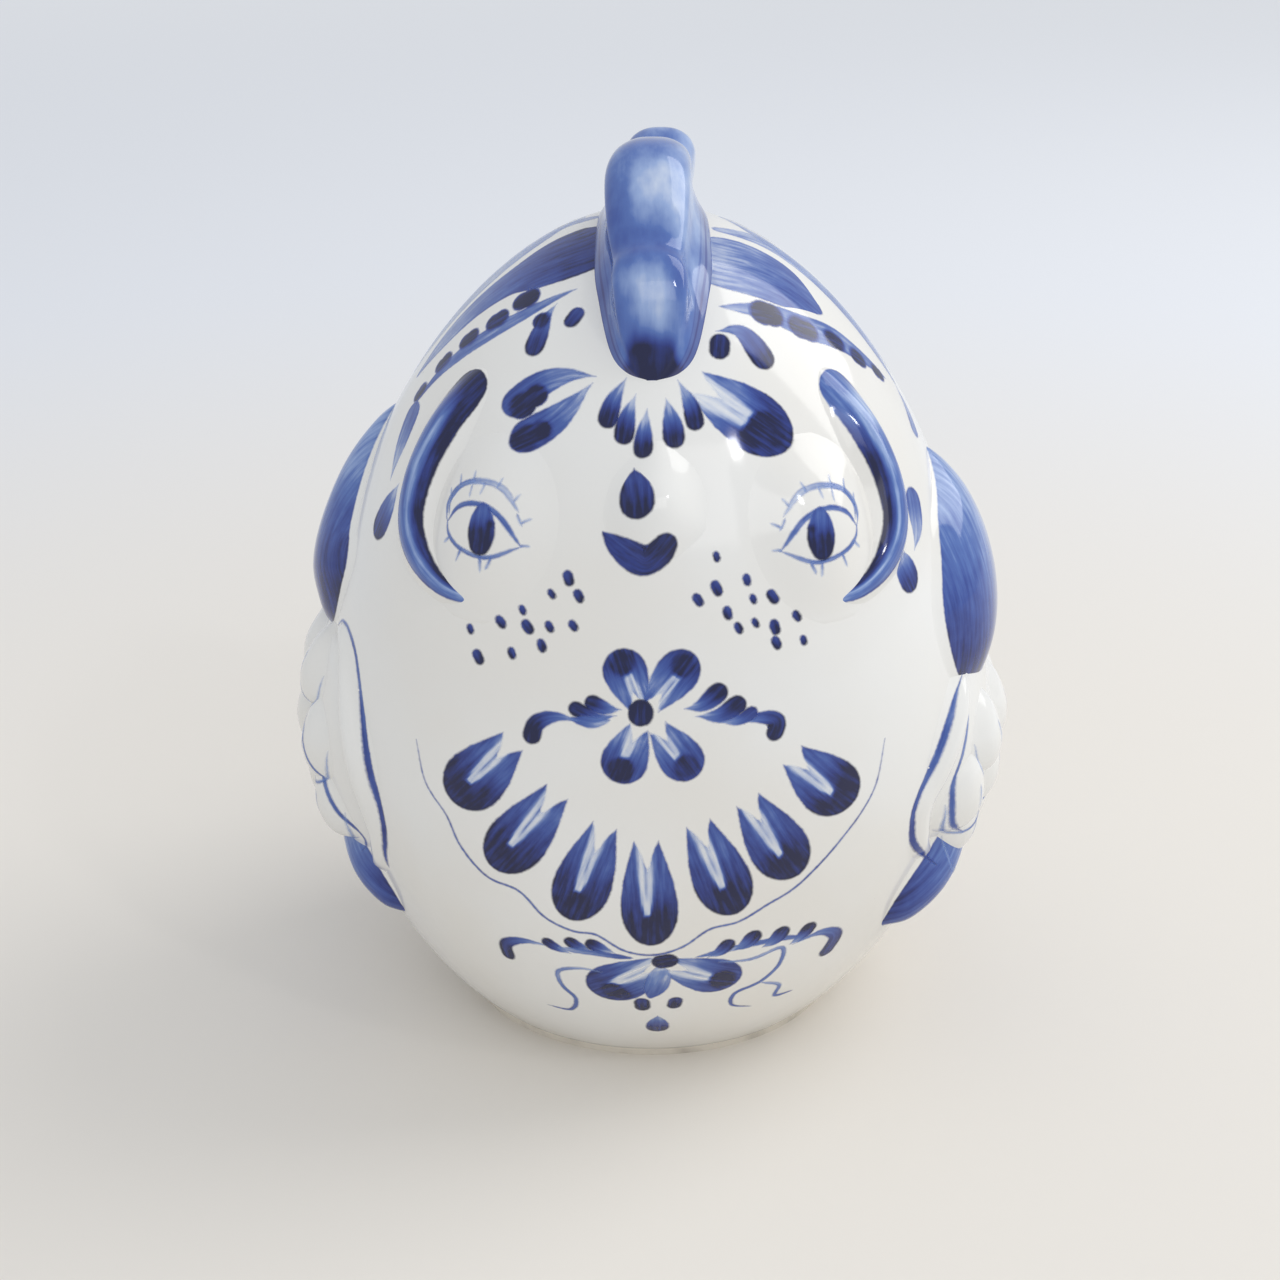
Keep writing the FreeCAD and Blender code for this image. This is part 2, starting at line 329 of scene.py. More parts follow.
def stroke_rows(path, half, centres):
    """Rows of the sheet that a stroke lies on, with its margin and its round ends.

    Gives each row's middle, direction across, reach to either side and distance along.
    """
    sides, along = path_sides(path)
    before, after = half[0] + PAINT_MARGIN, half[-1] + PAINT_MARGIN
    lead = before * np.cos(np.linspace(0, np.pi / 2, 2 + int(before / PAINT_SPACING))[:-1])
    trail = after * np.sin(np.linspace(0, np.pi / 2, 2 + int(after / PAINT_SPACING))[1:])
    middle = np.vstack([path[0, :2] - lead[:, None] * along[0], path[:, :2],
                        path[-1, :2] + trail[:, None] * along[-1]])
    sideways = np.vstack([np.tile(sides[0], (len(lead), 1)), sides,
                          np.tile(sides[-1], (len(trail), 1))])
    first_reach = np.sqrt(np.clip(before ** 2 - lead ** 2, LEAST_REACH ** 2, None))
    last_reach = np.sqrt(np.clip(after ** 2 - trail ** 2, LEAST_REACH ** 2, None))
    reach = np.concatenate([first_reach, half + PAINT_MARGIN, last_reach])
    distance = np.concatenate([centres[0] - lead, centres, centres[-1] + trail])
    return middle, sideways, reach, distance


def run_together(flat, edge, pigment, blobs):
    """Dark round dabs joined to the outline and pigment of a stroke."""
    for x, y, radius in blobs:
        within = radius - np.hypot(flat[..., 0] - x, flat[..., 1] - y)
        dark = smoothstep(-0.25, 0.45, within)
        pigment = pigment + (np.maximum(pigment, DAB_LOAD) - pigment) * dark
        edge = np.maximum(edge, within)
    return edge, pigment


# A petal's widths as shares of half its width, each after its share of the length: the
# outside of its arms, the notch between them and its pale middle
PETAL_OUTER = np.array([(-0.03, 0.4), (0.0, 0.45), (0.15, 0.64), (0.35, 0.87), (0.55, 0.99)])
PETAL_NOTCH = np.array([(-0.03, 0.44), (0.03, 0.3), (0.1, 0.18), (0.2, 0.08), (0.3, -0.2)])
PETAL_PALE = np.array([(0.0, 1.2), (0.3, 1.05), (0.55, 0.85), (0.72, 0.35), (0.8, 0.0)])
PETAL_ROUND = 0.55         # share of the length from which a petal's end is round


class Painting:
    """Brush strokes that make one painted motif."""

    def __init__(self, tree):
        self.tree = tree
        self.builder = Builder()
        self.count = 0

    def stroke(self, anchor, points, width, shape, load, blobs=()):
        """One stroke through the points, at most width mm wide.

        load is the pigment at its start and end. The points of a "given" stroke carry
        its half width as a third number. blobs are dark dabs (right, up, radius) that run
        into it.
        """
        profile, round_start, round_finish = STROKE_SHAPES[shape]
        path, even = smooth_path(points, PAINT_SPACING)
        length = even[-1]
        inset = min(width / 2, 0.45 * length)
        first = inset if round_start else 0.0
        last = length - (inset if round_finish else 0.0)
        centres = np.linspace(first, last, max(8, int((last - first) / PAINT_SPACING) + 2))
        path = np.column_stack([np.interp(centres, even, column) for column in path.T])
        if profile is None:
            half = np.clip(path[:, 2], 0, None)
        else:
            half = profile(np.linspace(0, 1, len(path))) * width

        middle, sideways, reach, s = stroke_rows(path, half, centres)
        for x, y, radius in blobs:
            off = np.min(np.hypot(path[:, 0] - x, path[:, 1] - y))
            reach = np.maximum(reach, off + radius + PAINT_MARGIN)
        columns = 2 * max(2, int(reach.max() / PAINT_SPACING)) + 1
        share = np.linspace(-1, 1, columns)
        across = reach[:, None] * share
        flat = middle[:, None] + sideways[:, None, :] * across[..., None]
        apart = np.linalg.norm(flat[:, :, None, :] - path[None, None, :, :2], axis=-1)
        edge = np.max(half - apart, axis=-1)
        u = np.clip(s / length, 0, 1)
        pigment = load[0] + (load[1] - load[0]) * smoothstep(0.1, 0.85, u)[:, None] + 0 * share
        edge, pigment = run_together(flat, edge, pigment, blobs)
        self.lay(anchor, flat, edge, pigment, s[:, None] + 0 * share, across)

    def strokes(self, anchor, rows):
        """Strokes given as (shape, width, pigment at the start, pigment at the end, points)."""
        for shape, width, first, last, points in rows:
            self.stroke(anchor, points, width, shape, (first, last))

    def lay(self, anchor, flat, edge, pigment, along, across):
        """Press a sheet of paint onto the porcelain."""
        points, normals = press(anchor, flat)
        rise = rise_over_body(self.tree, points, normals)
        lift = PAINT_LIFT + PAINT_LAYER * (self.count % PAINT_LAYERS)
        top = points + normals * (rise + lift)[..., None]
        bottom = points + normals * (rise - PAINT_DEPTH)[..., None]
        rows, columns = edge.shape
        vertices, faces = closed_sheet(top, bottom, rows, columns)
        values = np.tile([BARE, 0, 0, 0], (len(vertices), 1))
        streak_start = STREAK_SHIFT * self.count
        values[:rows * columns] = np.column_stack([
            edge.ravel(), pigment.ravel(), along.ravel() + streak_start, across.ravel()])
        self.builder.add(vertices, faces, values)
        self.count += 1

    def band(self, anchor, stations, load, blobs=()):
        """A stroke whose stations give its half width: (right, up, half width)."""
        width = 2 * max(station[2] for station in stations)
        self.stroke(anchor, stations, width, "given", load, blobs)

    def petal(self, anchor, start, end, width, load, opening=0.25, blobs=()):
        """A horseshoe petal: two pointed arms that meet in a dark round end.

        opening is the width of the pale streaked middle, as a share of the petal's.
        """
        start, end = np.array(start, float), np.array(end, float)
        length = np.linalg.norm(end - start)
        along = (end - start) / length
        side = np.array([-along[1], along[0]])

        def outer(u):
            arms = np.interp(u, *PETAL_OUTER.T)
            return np.where(u < PETAL_ROUND, arms, round_end(u, 0.62)) * width / 2

        def inner(u):
            return np.interp(u, *PETAL_NOTCH.T) * width / 2

        rim_u = np.concatenate([np.linspace(-0.03, 1, 160), 1 - np.linspace(0, 0.25, 60) ** 2])
        notch_u = np.linspace(-0.03, 0.26, 60)
        outline = []
        for turn in (-1, 1):
            outline.append(np.column_stack([rim_u * length, turn * outer(rim_u)]))
            outline.append(np.column_stack([notch_u * length, turn * np.clip(inner(notch_u), 0, None)]))
        outline = np.vstack(outline)

        x = np.arange(-PAINT_MARGIN - 0.3, length + PAINT_MARGIN + PAINT_SPACING, PAINT_SPACING)
        columns = 2 * int((width / 2 + PAINT_MARGIN) / PAINT_SPACING + 1) + 1
        y = np.linspace(-1, 1, columns) * (width / 2 + PAINT_MARGIN)
        x, y = np.meshgrid(x, y, indexing="ij")
        apart = np.min(np.hypot(x[..., None] - outline[:, 0], y[..., None] - outline[:, 1]), axis=-1)
        u = x / length
        inside = (np.abs(y) < outer(np.clip(u, 0, 1))) & (np.abs(y) > inner(u)) & (u > -0.02) & (u < 1)
        edge = np.where(inside, apart, -apart)
        pale = np.interp(u, *PETAL_PALE.T) * opening * width / 2
        across = np.abs(y + 0.04 * width)
        light = smoothstep(1.3, 0.5, across / np.maximum(pale, 0.01))
        streak_ends = smoothstep(0.0, 0.12, u) * smoothstep(0.6, 0.4, u)
        streak = 0.5 * smoothstep(0.42, 0.1, across) * streak_ends
        pigment = load[0] + (load[1] - load[0]) * smoothstep(0.2, 0.8, u)
        pigment = pigment * (1 - 0.84 * light * (1 - streak))
        flat = start + x[..., None] * along + y[..., None] * side
        edge, pigment = run_together(flat, edge, pigment, blobs)
        self.lay(anchor, flat, edge, pigment, x, y)

    def dot(self, anchor, centre, width, length, lean, load):
        """A dab, longer along the direction lean, in degrees from the sheet's right."""
        angle = math.radians(lean)
        reach = np.array([math.cos(angle), math.sin(angle)]) * length / 2
        centre = np.array(centre, float)
        self.stroke(anchor, [centre + reach, centre - reach], width, "dot", load)

    def line(self, anchor, points, width, load):
        """An even thin line."""
        self.stroke(anchor, points, width, "line", load)

    def finish(self, name, material):
        """The motif as one piece that casts no shadow on the porcelain under it."""
        piece = self.builder.finish(name, material)
        piece.visible_shadow = False
        piece.visible_diffuse = False


# ---------------------------------------------------------------- materials

def linear(red, green, blue):
    """Scene-linear colour of an sRGB one given in 0 to 255."""
    parts = [c / 255 for c in (red, green, blue)]
    parts = [c / 12.92 if c <= 0.04045 else ((c + 0.055) / 1.055) ** 2.4 for c in parts]
    return (*parts, 1.0)


PORCELAIN = linear(236, 235, 231)
PORCELAIN_WARM = linear(233, 230, 223)
COBALT_FAINT = linear(206, 216, 232)
COBALT_PALE = linear(148, 170, 212)
COBALT_MID = linear(84, 113, 178)
COBALT_FULL = linear(56, 80, 154)
COBALT_DEEP = linear(34, 51, 124)
COBALT_NIGHT = linear(12, 19, 64)
BISCUIT = linear(226, 219, 206)
BISCUIT_GREY = linear(190, 183, 172)
IRON_SPECK = linear(120, 110, 100)
COMB_FOOT_GREY = linear(96, 98, 140)
TABLE_NEAR = linear(232, 227, 219)
TABLE_FAR = linear(229, 231, 235)
BLACK = (0, 0, 0, 1)
GLAZE_ROUGHNESS = 0.09
GLAZE_IOR = 1.52


class Nodes:
    """Short way to write a material's nodes."""

    def __init__(self, name):
        self.material = bpy.data.materials.new(name)
        self.material.use_nodes = True
        self.tree = self.material.node_tree
        self.shader = self.tree.nodes["Principled BSDF"]

    def add(self, kind, inputs=None, **settings):
        node = self.tree.nodes.new("ShaderNode" + kind)
        for key, value in settings.items():
            setattr(node, key, value)
        for key, value in (inputs or {}).items():
            self.set(node.inputs[key], value)
        return node

    def set(self, socket, value):
        if isinstance(value, bpy.types.NodeSocket):
            self.tree.links.new(value, socket)
        else:
            socket.default_value = value

    def math(self, operation, first, second=0.0, clamp=False):
        node = self.add("Math", {0: first, 1: second}, operation=operation, use_clamp=clamp)
        return node.outputs[0]

    def range(self, value, low, high, to_low=0.0, to_high=1.0):
        node = self.add("MapRange", {
            "Value": value, "From Min": low, "From Max": high, "To Min": to_low, "To Max": to_high,
        }, interpolation_type="SMOOTHSTEP")
        return node.outputs["Result"]

    def varied(self, value, noise, amount):
        """value with noise added that swings it by half of amount to either side."""
        centred = self.math("SUBTRACT", noise, 0.5)
        return self.math("ADD", value, self.math("MULTIPLY", centred, amount))

    def base(self, colour):
        self.set(self.shader.inputs["Base Color"], colour)

    def bump(self, height, strength, distance):
        node = self.add("Bump", {"Strength": strength, "Distance": distance, "Height": height})
        self.set(self.shader.inputs["Normal"], node.outputs["Normal"])

    def attribute(self, name):
        return self.add("Attribute", attribute_name=name).outputs["Fac"]

    def place(self):
        """Position in the object's own metres."""
        return self.add("TexCoord").outputs["Object"]

    def noise(self, scale, vector=None, detail=3.0):
        inputs = {"Scale": scale, "Detail": detail, "Vector": vector or self.place()}
        return self.add("TexNoise", inputs).outputs["Fac"]

    def ramp(self, value, stops):
        node = self.add("ValToRGB", {"Fac": value})
        elements = node.color_ramp.elements
        while len(elements) < len(stops):
            elements.new(0.5)
        for element, (position, colour) in zip(elements, stops):
            element.position = position
            element.color = colour
        return node.outputs["Color"]

    def colour_mix(self, share, first, second):
        node = self.add("Mix", data_type="RGBA")
        self.set(node.inputs[0], share)
        self.set(node.inputs[6], first)
        self.set(node.inputs[7], second)
        return node.outputs[2]

    def glaze(self):
        """Set the clear gloss glaze on the shader, with its faint waviness."""
        self.shader.inputs["Roughness"].default_value = GLAZE_ROUGHNESS
        self.shader.inputs["IOR"].default_value = GLAZE_IOR
        self.bump(self.noise(170.0, detail=2.0), 0.05, 0.0008)


def porcelain_colour(nodes):
    """Slightly warm white with faint clouds and a few iron specks."""
    clouds = nodes.noise(28.0)
    base = nodes.colour_mix(nodes.range(clouds, 0.35, 0.7), PORCELAIN, PORCELAIN_WARM)
    cells = nodes.add("TexVoronoi", {"Vector": nodes.place(), "Scale": 130.0})
    close = nodes.range(cells.outputs["Distance"], 0.0, 0.045, 1.0, 0.0)
    cell_value = nodes.add("SeparateColor", {"Color": cells.outputs["Color"]}).outputs[0]
    chosen = nodes.math("GREATER_THAN", cell_value, 0.93)
    speck = nodes.math("MULTIPLY", nodes.math("MULTIPLY", close, chosen), 0.45)
    return nodes.colour_mix(speck, base, IRON_SPECK)


def cobalt_colour(nodes, load):
    """Colour of cobalt of the given load under the glaze."""
    return nodes.ramp(load, [
        (0.0, COBALT_FAINT), (0.22, COBALT_PALE), (0.46, COBALT_MID), (0.68, COBALT_FULL),
        (0.86, COBALT_DEEP), (1.0, COBALT_NIGHT),
    ])


def brushed_load(nodes):
    """The strokes' pigment with streaks along the brush and a darker border."""
    spot = nodes.add("CombineXYZ", {
        "X": nodes.math("MULTIPLY", nodes.attribute("along"), 0.16),
        "Y": nodes.math("MULTIPLY", nodes.attribute("across"), 1.6),
    }).outputs[0]
    streaks = nodes.noise(1.0, spot, 4.0)
    clouds = nodes.noise(420.0)
    load = nodes.varied(nodes.varied(nodes.attribute("load"), streaks, 0.6), clouds, 0.2)
    rim = nodes.math("MULTIPLY", nodes.range(nodes.attribute("edge"), 0.1, 0.6, 1.0, 0.0), 0.05)
    return nodes.math("ADD", load, rim, clamp=True)


def paint_mask(nodes, softness):
    """1 inside a stroke and 0 outside, with a slightly ragged soft edge."""
    edge = nodes.varied(nodes.attribute("edge"), nodes.noise(1500.0, detail=1.0), 0.16)
    return nodes.range(edge, -softness, softness)


def white_glaze_material():
    """Plain glazed porcelain."""
    nodes = Nodes("white_glaze")
    nodes.base(porcelain_colour(nodes))
    nodes.glaze()
    return nodes.material


def painted_glaze_material():
    """Porcelain whose own vertices carry the painting."""
    nodes = Nodes("painted_glaze")
    paint = cobalt_colour(nodes, brushed_load(nodes))
    mask = paint_mask(nodes, 0.16)
    nodes.base(nodes.colour_mix(mask, porcelain_colour(nodes), paint))
    nodes.glaze()
    return nodes.material


def brush_stroke_material():
    """Cobalt strokes, clear outside their edges and thinner where less was loaded."""
    nodes = Nodes("cobalt_brush_stroke")
    load = brushed_load(nodes)
    nodes.base(cobalt_colour(nodes, load))
    strength = nodes.range(load, 0.0, 0.6, 0.35, 1.0)
    nodes.set(nodes.shader.inputs["Alpha"], nodes.math("MULTIPLY", paint_mask(nodes, 0.2), strength))
    nodes.glaze()
    return nodes.material


def biscuit_material():
    """Bare fired clay with a fine grain and a grey scuff."""
    nodes = Nodes("biscuit_clay")
    scuff = nodes.range(nodes.noise(160.0), 0.45, 0.75)
    nodes.base(nodes.colour_mix(scuff, BISCUIT, BISCUIT_GREY))
    nodes.shader.inputs["Roughness"].default_value = 0.75
    nodes.bump(nodes.noise(2400.0), 0.35, 0.0002)
    return nodes.material


# ---------------------------------------------------------------- body, comb and tail

BODY_RINGS = 150
BODY_AROUND = 240
BODY_INNER_RINGS = 40


def body_profile():
    """Radius and height round the shell: outside downwards, floor, vent, inside upwards."""
    middle = BODY_TOP - BODY_HALF
    foot_turn = math.acos((FOOT_HEIGHT - middle) / BODY_HALF)
    outer_z = middle + BODY_HALF * np.cos(np.linspace(0.004, foot_turn, BODY_RINGS))
    outer = np.column_stack([egg_radius(outer_z), outer_z])
    floor_top = FOOT_HEIGHT + WALL
    floor_turn = math.acos((floor_top - middle) / BODY_HALF)
    inner_z = middle + BODY_HALF * np.cos(np.linspace(floor_turn, 0.02, BODY_INNER_RINGS))
    slope = egg_slope(inner_z)
    length = np.sqrt(1 + slope * slope)
    inner = np.column_stack([egg_radius(inner_z) - WALL / length, inner_z + WALL * slope / length])
    inner[:, 0] = np.maximum(inner[:, 0], 0.05)
    inner[0, 1] = floor_top
    floor = [(outer[-1, 0] - 0.05, FOOT_HEIGHT), (VENT_RADIUS + 0.4, FOOT_HEIGHT)]
    vent = [(VENT_RADIUS, FOOT_HEIGHT + 0.4), (VENT_RADIUS, floor_top - 0.1),
            (VENT_RADIUS + 0.1, floor_top)]
    return np.vstack([outer, floor, vent, inner])


def body(material):
    """Hollow egg with its floor and vent, as one closed surface of revolution."""
    profile = body_profile()
    turn = np.linspace(0, 2 * np.pi, BODY_AROUND, endpoint=False)
    ring = np.stack([np.cos(turn), np.sin(turn)], -1)
    heights = np.repeat(profile[:, None, 1:], BODY_AROUND, axis=1)
    vertices = np.concatenate([profile[:, None, :1] * ring, heights], -1).reshape(-1, 3)
    faces = grid_faces(len(profile), BODY_AROUND, closed=True)[:, ::-1]
    last = len(vertices) - 1
    caps = [tuple(range(BODY_AROUND)), tuple(range(last, last - BODY_AROUND, -1))]
    builder = Builder()
    builder.add(vertices, [faces, caps], np.tile([BARE, 0, 0, 0], (len(vertices), 1)))
    remember(vertices, [faces, caps])
    piece = builder.finish("egg_body", material)
    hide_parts("body_shell")


def body_height(x, y):
    """Height of the crown's surface over (x, y)."""
    heights = np.linspace(BODY_TOP - BODY_HALF, BODY_TOP, 2000)
    return np.interp(-np.hypot(x, y), -egg_radius(heights), heights)


def near(value, centre, reach):
    """1 at centre, falling smoothly to 0 at reach from it."""
    return 1 - smoothstep(0.15, 1.0, np.abs(value - centre) / reach)


def comb_paint_and_painted_light(x, travelled, share, half):
    """Cobalt on the comb: pale over the lobes and dark at the front root. It also holds painted light:
    painted shade in the crease, deepest on the hen's right side, and a painted reflection of the window
    that makes the hen's left side of the comb paler.

    travelled is the length along the ridge from the front root.
    """
    sideways = x / half
    low_edge = smoothstep(0.2, 0.5, share)
    high_edge = smoothstep(0.5, 0.8, share)
    front_patch = near(sideways, -0.05, 1.05) * near(travelled, 10.5, 6.8) * low_edge
    top_patch = near(sideways, 0.15, 1.1) * near(travelled, 28.0, 9.0) * high_edge
    back_patch = near(sideways, 0.0, 1.0) * near(travelled, 55.0, 8.0) * high_edge
    # painted shade in the crease between the lobes, deeper on the hen's right side, away from the window
    painted_crease_shade = near(travelled, 19.0, 3.2) * (0.4 + 0.6 * near(sideways, -0.5, 0.7))
    root = 1 - smoothstep(3.6, 7.0, travelled)
    # painted reflection of the window: the hen's left side of the comb is made paler
    painted_window_sheen = near(sideways, 1.1, 0.9) * smoothstep(10, 24, travelled)
    pigment = 0.52 - 0.36 * front_patch - 0.34 * top_patch - 0.22 * back_patch
    pigment = pigment + 0.16 * painted_crease_shade + 0.54 * root - 0.2 * painted_window_sheen
    return np.clip(pigment, 0.06, 1)


COMB_STATIONS = [
    # y, ridge height, half width near the ridge, half width of the foot, sway
    (-27.6, 99.6, 0.6, 0.9, -0.2),
    (-27.2, 101.6, 1.8, 2.6, -0.2),
    (-26.6, 104.4, 2.9, 3.8, -0.3),
    (-25.6, 108.2, 3.9, 4.9, -0.4),
    (-24.2, 111.6, 4.5, 5.7, -0.4),
    (-22.0, 114.2, 4.8, 6.4, -0.5),
    (-18.8, 115.7, 4.6, 7.1, -0.7),
    (-14.6, 120.3, 5.3, 7.7, -0.8),
    (-8.0, 124.9, 5.6, 7.7, -0.7),
    (-0.5, 124.9, 5.1, 7.4, 0.0),
    (5.0, 122.9, 4.5, 7.0, 0.6),
    (10.5, 124.1, 4.8, 6.7, 1.1),
    (16.5, 121.6, 4.8, 6.1, 1.2),
    (21.5, 115.0, 4.0, 4.9, 1.0),
    (24.5, 108.6, 2.6, 3.3, 0.6),
    (25.8, 102.4, 0.6, 0.9, 0.2),
]
COMB_OUTLINE = [
    # share of the foot's half width, share of the ridge's half width, share of the height
    (1.0, 0.0, -0.03), (0.98, 0.0, 0.03), (0.9, 0.02, 0.1), (0.45, 0.5, 0.24), (0.1, 0.88, 0.42),
    (0.0, 1.0, 0.62), (0.0, 0.97, 0.78), (0.0, 0.8, 0.91), (0.0, 0.45, 0.985),
]
COMB_ALONG = 0.4           # mesh spacing along the comb
COMB_ACROSS = 0.045        # mesh spacing round its outline, in shares of its width
COMB_SUNK = 0.25           # depth of the comb's foot edge under the glaze
COMB_ROOT = 1.4            # depth of its closed underside


def comb(material):
    """Wavy comb of three rounded lobes with a flared foot."""
    fine, even = smooth_path(COMB_STATIONS, COMB_ALONG)
    left = [(-a, -b, c) for a, b, c in COMB_OUTLINE]
    outline = np.array(left + [(0.0, 0.0, 1.0)] + COMB_OUTLINE[::-1])
    shape = np.column_stack([outline[:, 0] + outline[:, 1], outline[:, 2], outline])
    ring = smooth_path(shape, COMB_ACROSS)[0][:, 2:]
    rows = []
    values = []
    for (y, top, half, foot_half, sway), travelled in zip(fine, even):
        x = ring[:, 0] * foot_half + ring[:, 1] * half
        rise = max(top - float(body_height(0.0, y)), 0.3)
        share = ring[:, 2]
        z = body_height(x, y) + rise * share - COMB_SUNK
        rows.append(np.column_stack([x + sway * smoothstep(0, 0.8, share), y + 0 * x, z]))
        # pigment holds the cobalt and also the comb's painted shade and painted window reflection
        pigment = comb_paint_and_painted_light(x, travelled, share, half)
        values.append(np.column_stack([share, pigment, travelled + 0 * x, x]))
    top = np.array(rows)
    bottom = top.copy()
    bottom[..., 0] *= 0.8
    bottom[..., 2] = body_height(bottom[..., 0], bottom[..., 1]) - COMB_ROOT
    columns = len(ring)
    vertices, faces = closed_sheet(top, bottom, len(rows), columns)
    paint = np.tile([BARE, 0.5, 0, 0], (len(vertices), 1))
    paint[:len(rows) * columns] = np.array(values).reshape(-1, 4)
    builder = Builder()
    builder.add(vertices, faces, paint)
    piece = builder.finish("wavy_comb", material)
    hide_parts("comb")


def comb_material():
    """Runny washes of cobalt over the comb, purple-grey on its flared foot with dark stripes. The wash
    also carries the comb's painted shade and painted window reflection.
    """
    nodes = Nodes("comb_wash_with_painted_light")
    share = nodes.attribute("edge")
    spot = {0: nodes.place(), 1: (520.0, 260.0, 90.0)}
    down = nodes.add("VectorMath", spot, operation="MULTIPLY").outputs[0]
    runs = nodes.noise(1.0, down, 4.0)
    clouds = nodes.noise(150.0)
    # the wash carries the painted shade and painted window reflection from the load
    wash_with_painted_light = nodes.varied(nodes.varied(nodes.attribute("load"), runs, 0.42), clouds, 0.5)
    flare = nodes.range(share, 0.12, 0.3, 1.0, 0.0)
    stripe = nodes.math("SINE", nodes.math("MULTIPLY", share, 62.0))
    stripes = nodes.math("MULTIPLY", nodes.range(stripe, 0.0, 0.9), flare)
    wash_with_painted_light = nodes.math("ADD", wash_with_painted_light, nodes.math("MULTIPLY", stripes, 0.3), clamp=True)
    greyness = nodes.math("MULTIPLY", flare, 0.45)
    nodes.base(nodes.colour_mix(greyness, cobalt_colour(nodes, wash_with_painted_light), COMB_FOOT_GREY))
    nodes.glaze()
    return nodes.material


TAIL_ROOT_RADIUS = 36.0
TAIL_ROOT_Z = 56.0
TAIL_HALF_THICKNESS = 3.2
TAIL_ROWS = 60
TAIL_AROUND = 40


def tail_feather(builder, azimuth, reach, tip_z, half_width):
    """One upswept feather with two blue stripes and a blue rounded tip."""
    angle = math.radians(azimuth)
    outward = np.array([math.sin(angle), -math.cos(angle), 0.0])
    level = np.array([math.cos(angle), math.sin(angle), 0.0])
    s = 1 - (1 - np.linspace(0, 1, TAIL_ROWS)) ** 1.6
    radius = TAIL_ROOT_RADIUS + (reach - TAIL_ROOT_RADIUS) * np.sin(s * math.pi / 2)
    centre = outward * radius[:, None]
    centre[:, 2] = TAIL_ROOT_Z + (tip_z - TAIL_ROOT_Z) * s ** 1.3
    along = np.gradient(centre, axis=0)
    along /= np.linalg.norm(along, axis=1, keepdims=True)
    thick = np.cross(along, level)
    size = round_end(s, 0.6)[:, None]
    turn = np.linspace(0, 2 * np.pi, TAIL_AROUND, endpoint=False)
    wide = (level * half_width * size)[:, None] * np.cos(turn)[:, None]
    deep = (thick * TAIL_HALF_THICKNESS * size)[:, None] * np.sin(turn)[:, None]
    rows = centre[:, None] + wide + deep
    rows[-1] = centre[-1]
    faces = grid_faces(len(s), len(turn), closed=True)
    cap = [tuple(range(len(turn) - 1, -1, -1))]
    across = (half_width * size) * np.cos(turn)
    stripe = 0.9 - np.abs(np.abs(across) - 3.0)
    tip = (s[:, None] - 0.7) * 18 - np.abs(across) * 0.35
    edge = np.maximum(np.minimum(stripe, (s[:, None] - 0.48) * 20), tip)
    load = 0.35 + 0.6 * s[:, None] + 0 * across
    values = np.stack([edge, load, s[:, None] * 30 + 0 * across, across], -1)
    builder.add(rows.reshape(-1, 3), [faces, cap], values.reshape(-1, 4))


def tail(material):
    """Three feathers side by side, the middle one tallest."""
    builder = Builder()
    tail_feather(builder, 180, 55.0, 84.0, 7.5)
    for turn in (-13, 13):
        tail_feather(builder, 180 + turn, 53.0, 77.0, 7.0)
    piece = builder.finish("upswept_tail", material)
    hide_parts("tail")


# ---------------------------------------------------------------- face reliefs

def side_piece(name, side):
    """The name with its side in front."""
    return SIDE_NAMES[side] + "_" + name


def mirrored(side, rows):
    """The same points or dabs with their x turned towards the side."""
    return [(side * row[0], *row[1:]) for row in rows]


BROW_TOP_GAP = 3.2     # bare glaze above the paint on a brow
# share of the brow's length from its top, half width of the paint there
BROW_WIDTHS = np.array([
    (0.0, 2.7), (0.12, 3.3), (0.26, 3.2), (0.42, 2.9), (0.6, 2.3), (0.74, 1.4), (0.88, 0.6), (1.0, 0.2),
])


def eye_mound(side, material):
    """Soft swelling that the eye is painted on."""
    stations = []
    for step in range(13):
        s = -math.cos(math.pi * step / 12)
        bulge = math.sqrt(max(0.0, 1 - s * s))
        stations.append((0, 12.5 * s, 11.0 * bulge, 2.1 * bulge ** 3))
    builder = Builder()
    raised(builder, (side * 33.4, 81.5), stations)
    piece = builder.finish(side_piece("eye_swelling", side), material)
    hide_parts(side_piece("eye_mound", side))


def brow_paint(away, u, length, top_load_and_sheen):
    """A dark band on the crescent's inner side and a lighter one on its outer side, with a
    pale line along the dark one.

    away is the distance in mm from the middle, positive away from the face. The last argument is the
    pigment in the crescent's upper end; a lower value paints the window's reflection there as paler
    blue.
    """
    painted = np.interp(u, *BROW_WIDTHS.T)
    beyond = np.clip(BROW_TOP_GAP - u * length, 0, None)
    edge = painted - np.hypot(away, beyond * 1.1)
    line = np.exp(-((away + 0.3 * painted) / (0.14 * painted + 0.1)) ** 2) * smoothstep(0.12, 0.26, u)
    outer = smoothstep(-0.4, -0.1, away / painted) * smoothstep(0.06, 0.2, u)
    edging = smoothstep(0.7, 0.95, away / painted)
    # painted reflection: the upper end is paler by as much pigment as the last argument leaves out
    top = (1 - smoothstep(0.12, 0.32, u)) * (1 - top_load_and_sheen)
    foot = smoothstep(0.7, 1.0, u)
    load = 0.98 - 0.46 * outer + 0.24 * edging - 0.7 * line * (1 - 0.4 * u) - 0.3 * foot - top
    return edge, np.maximum(load, 0.2)


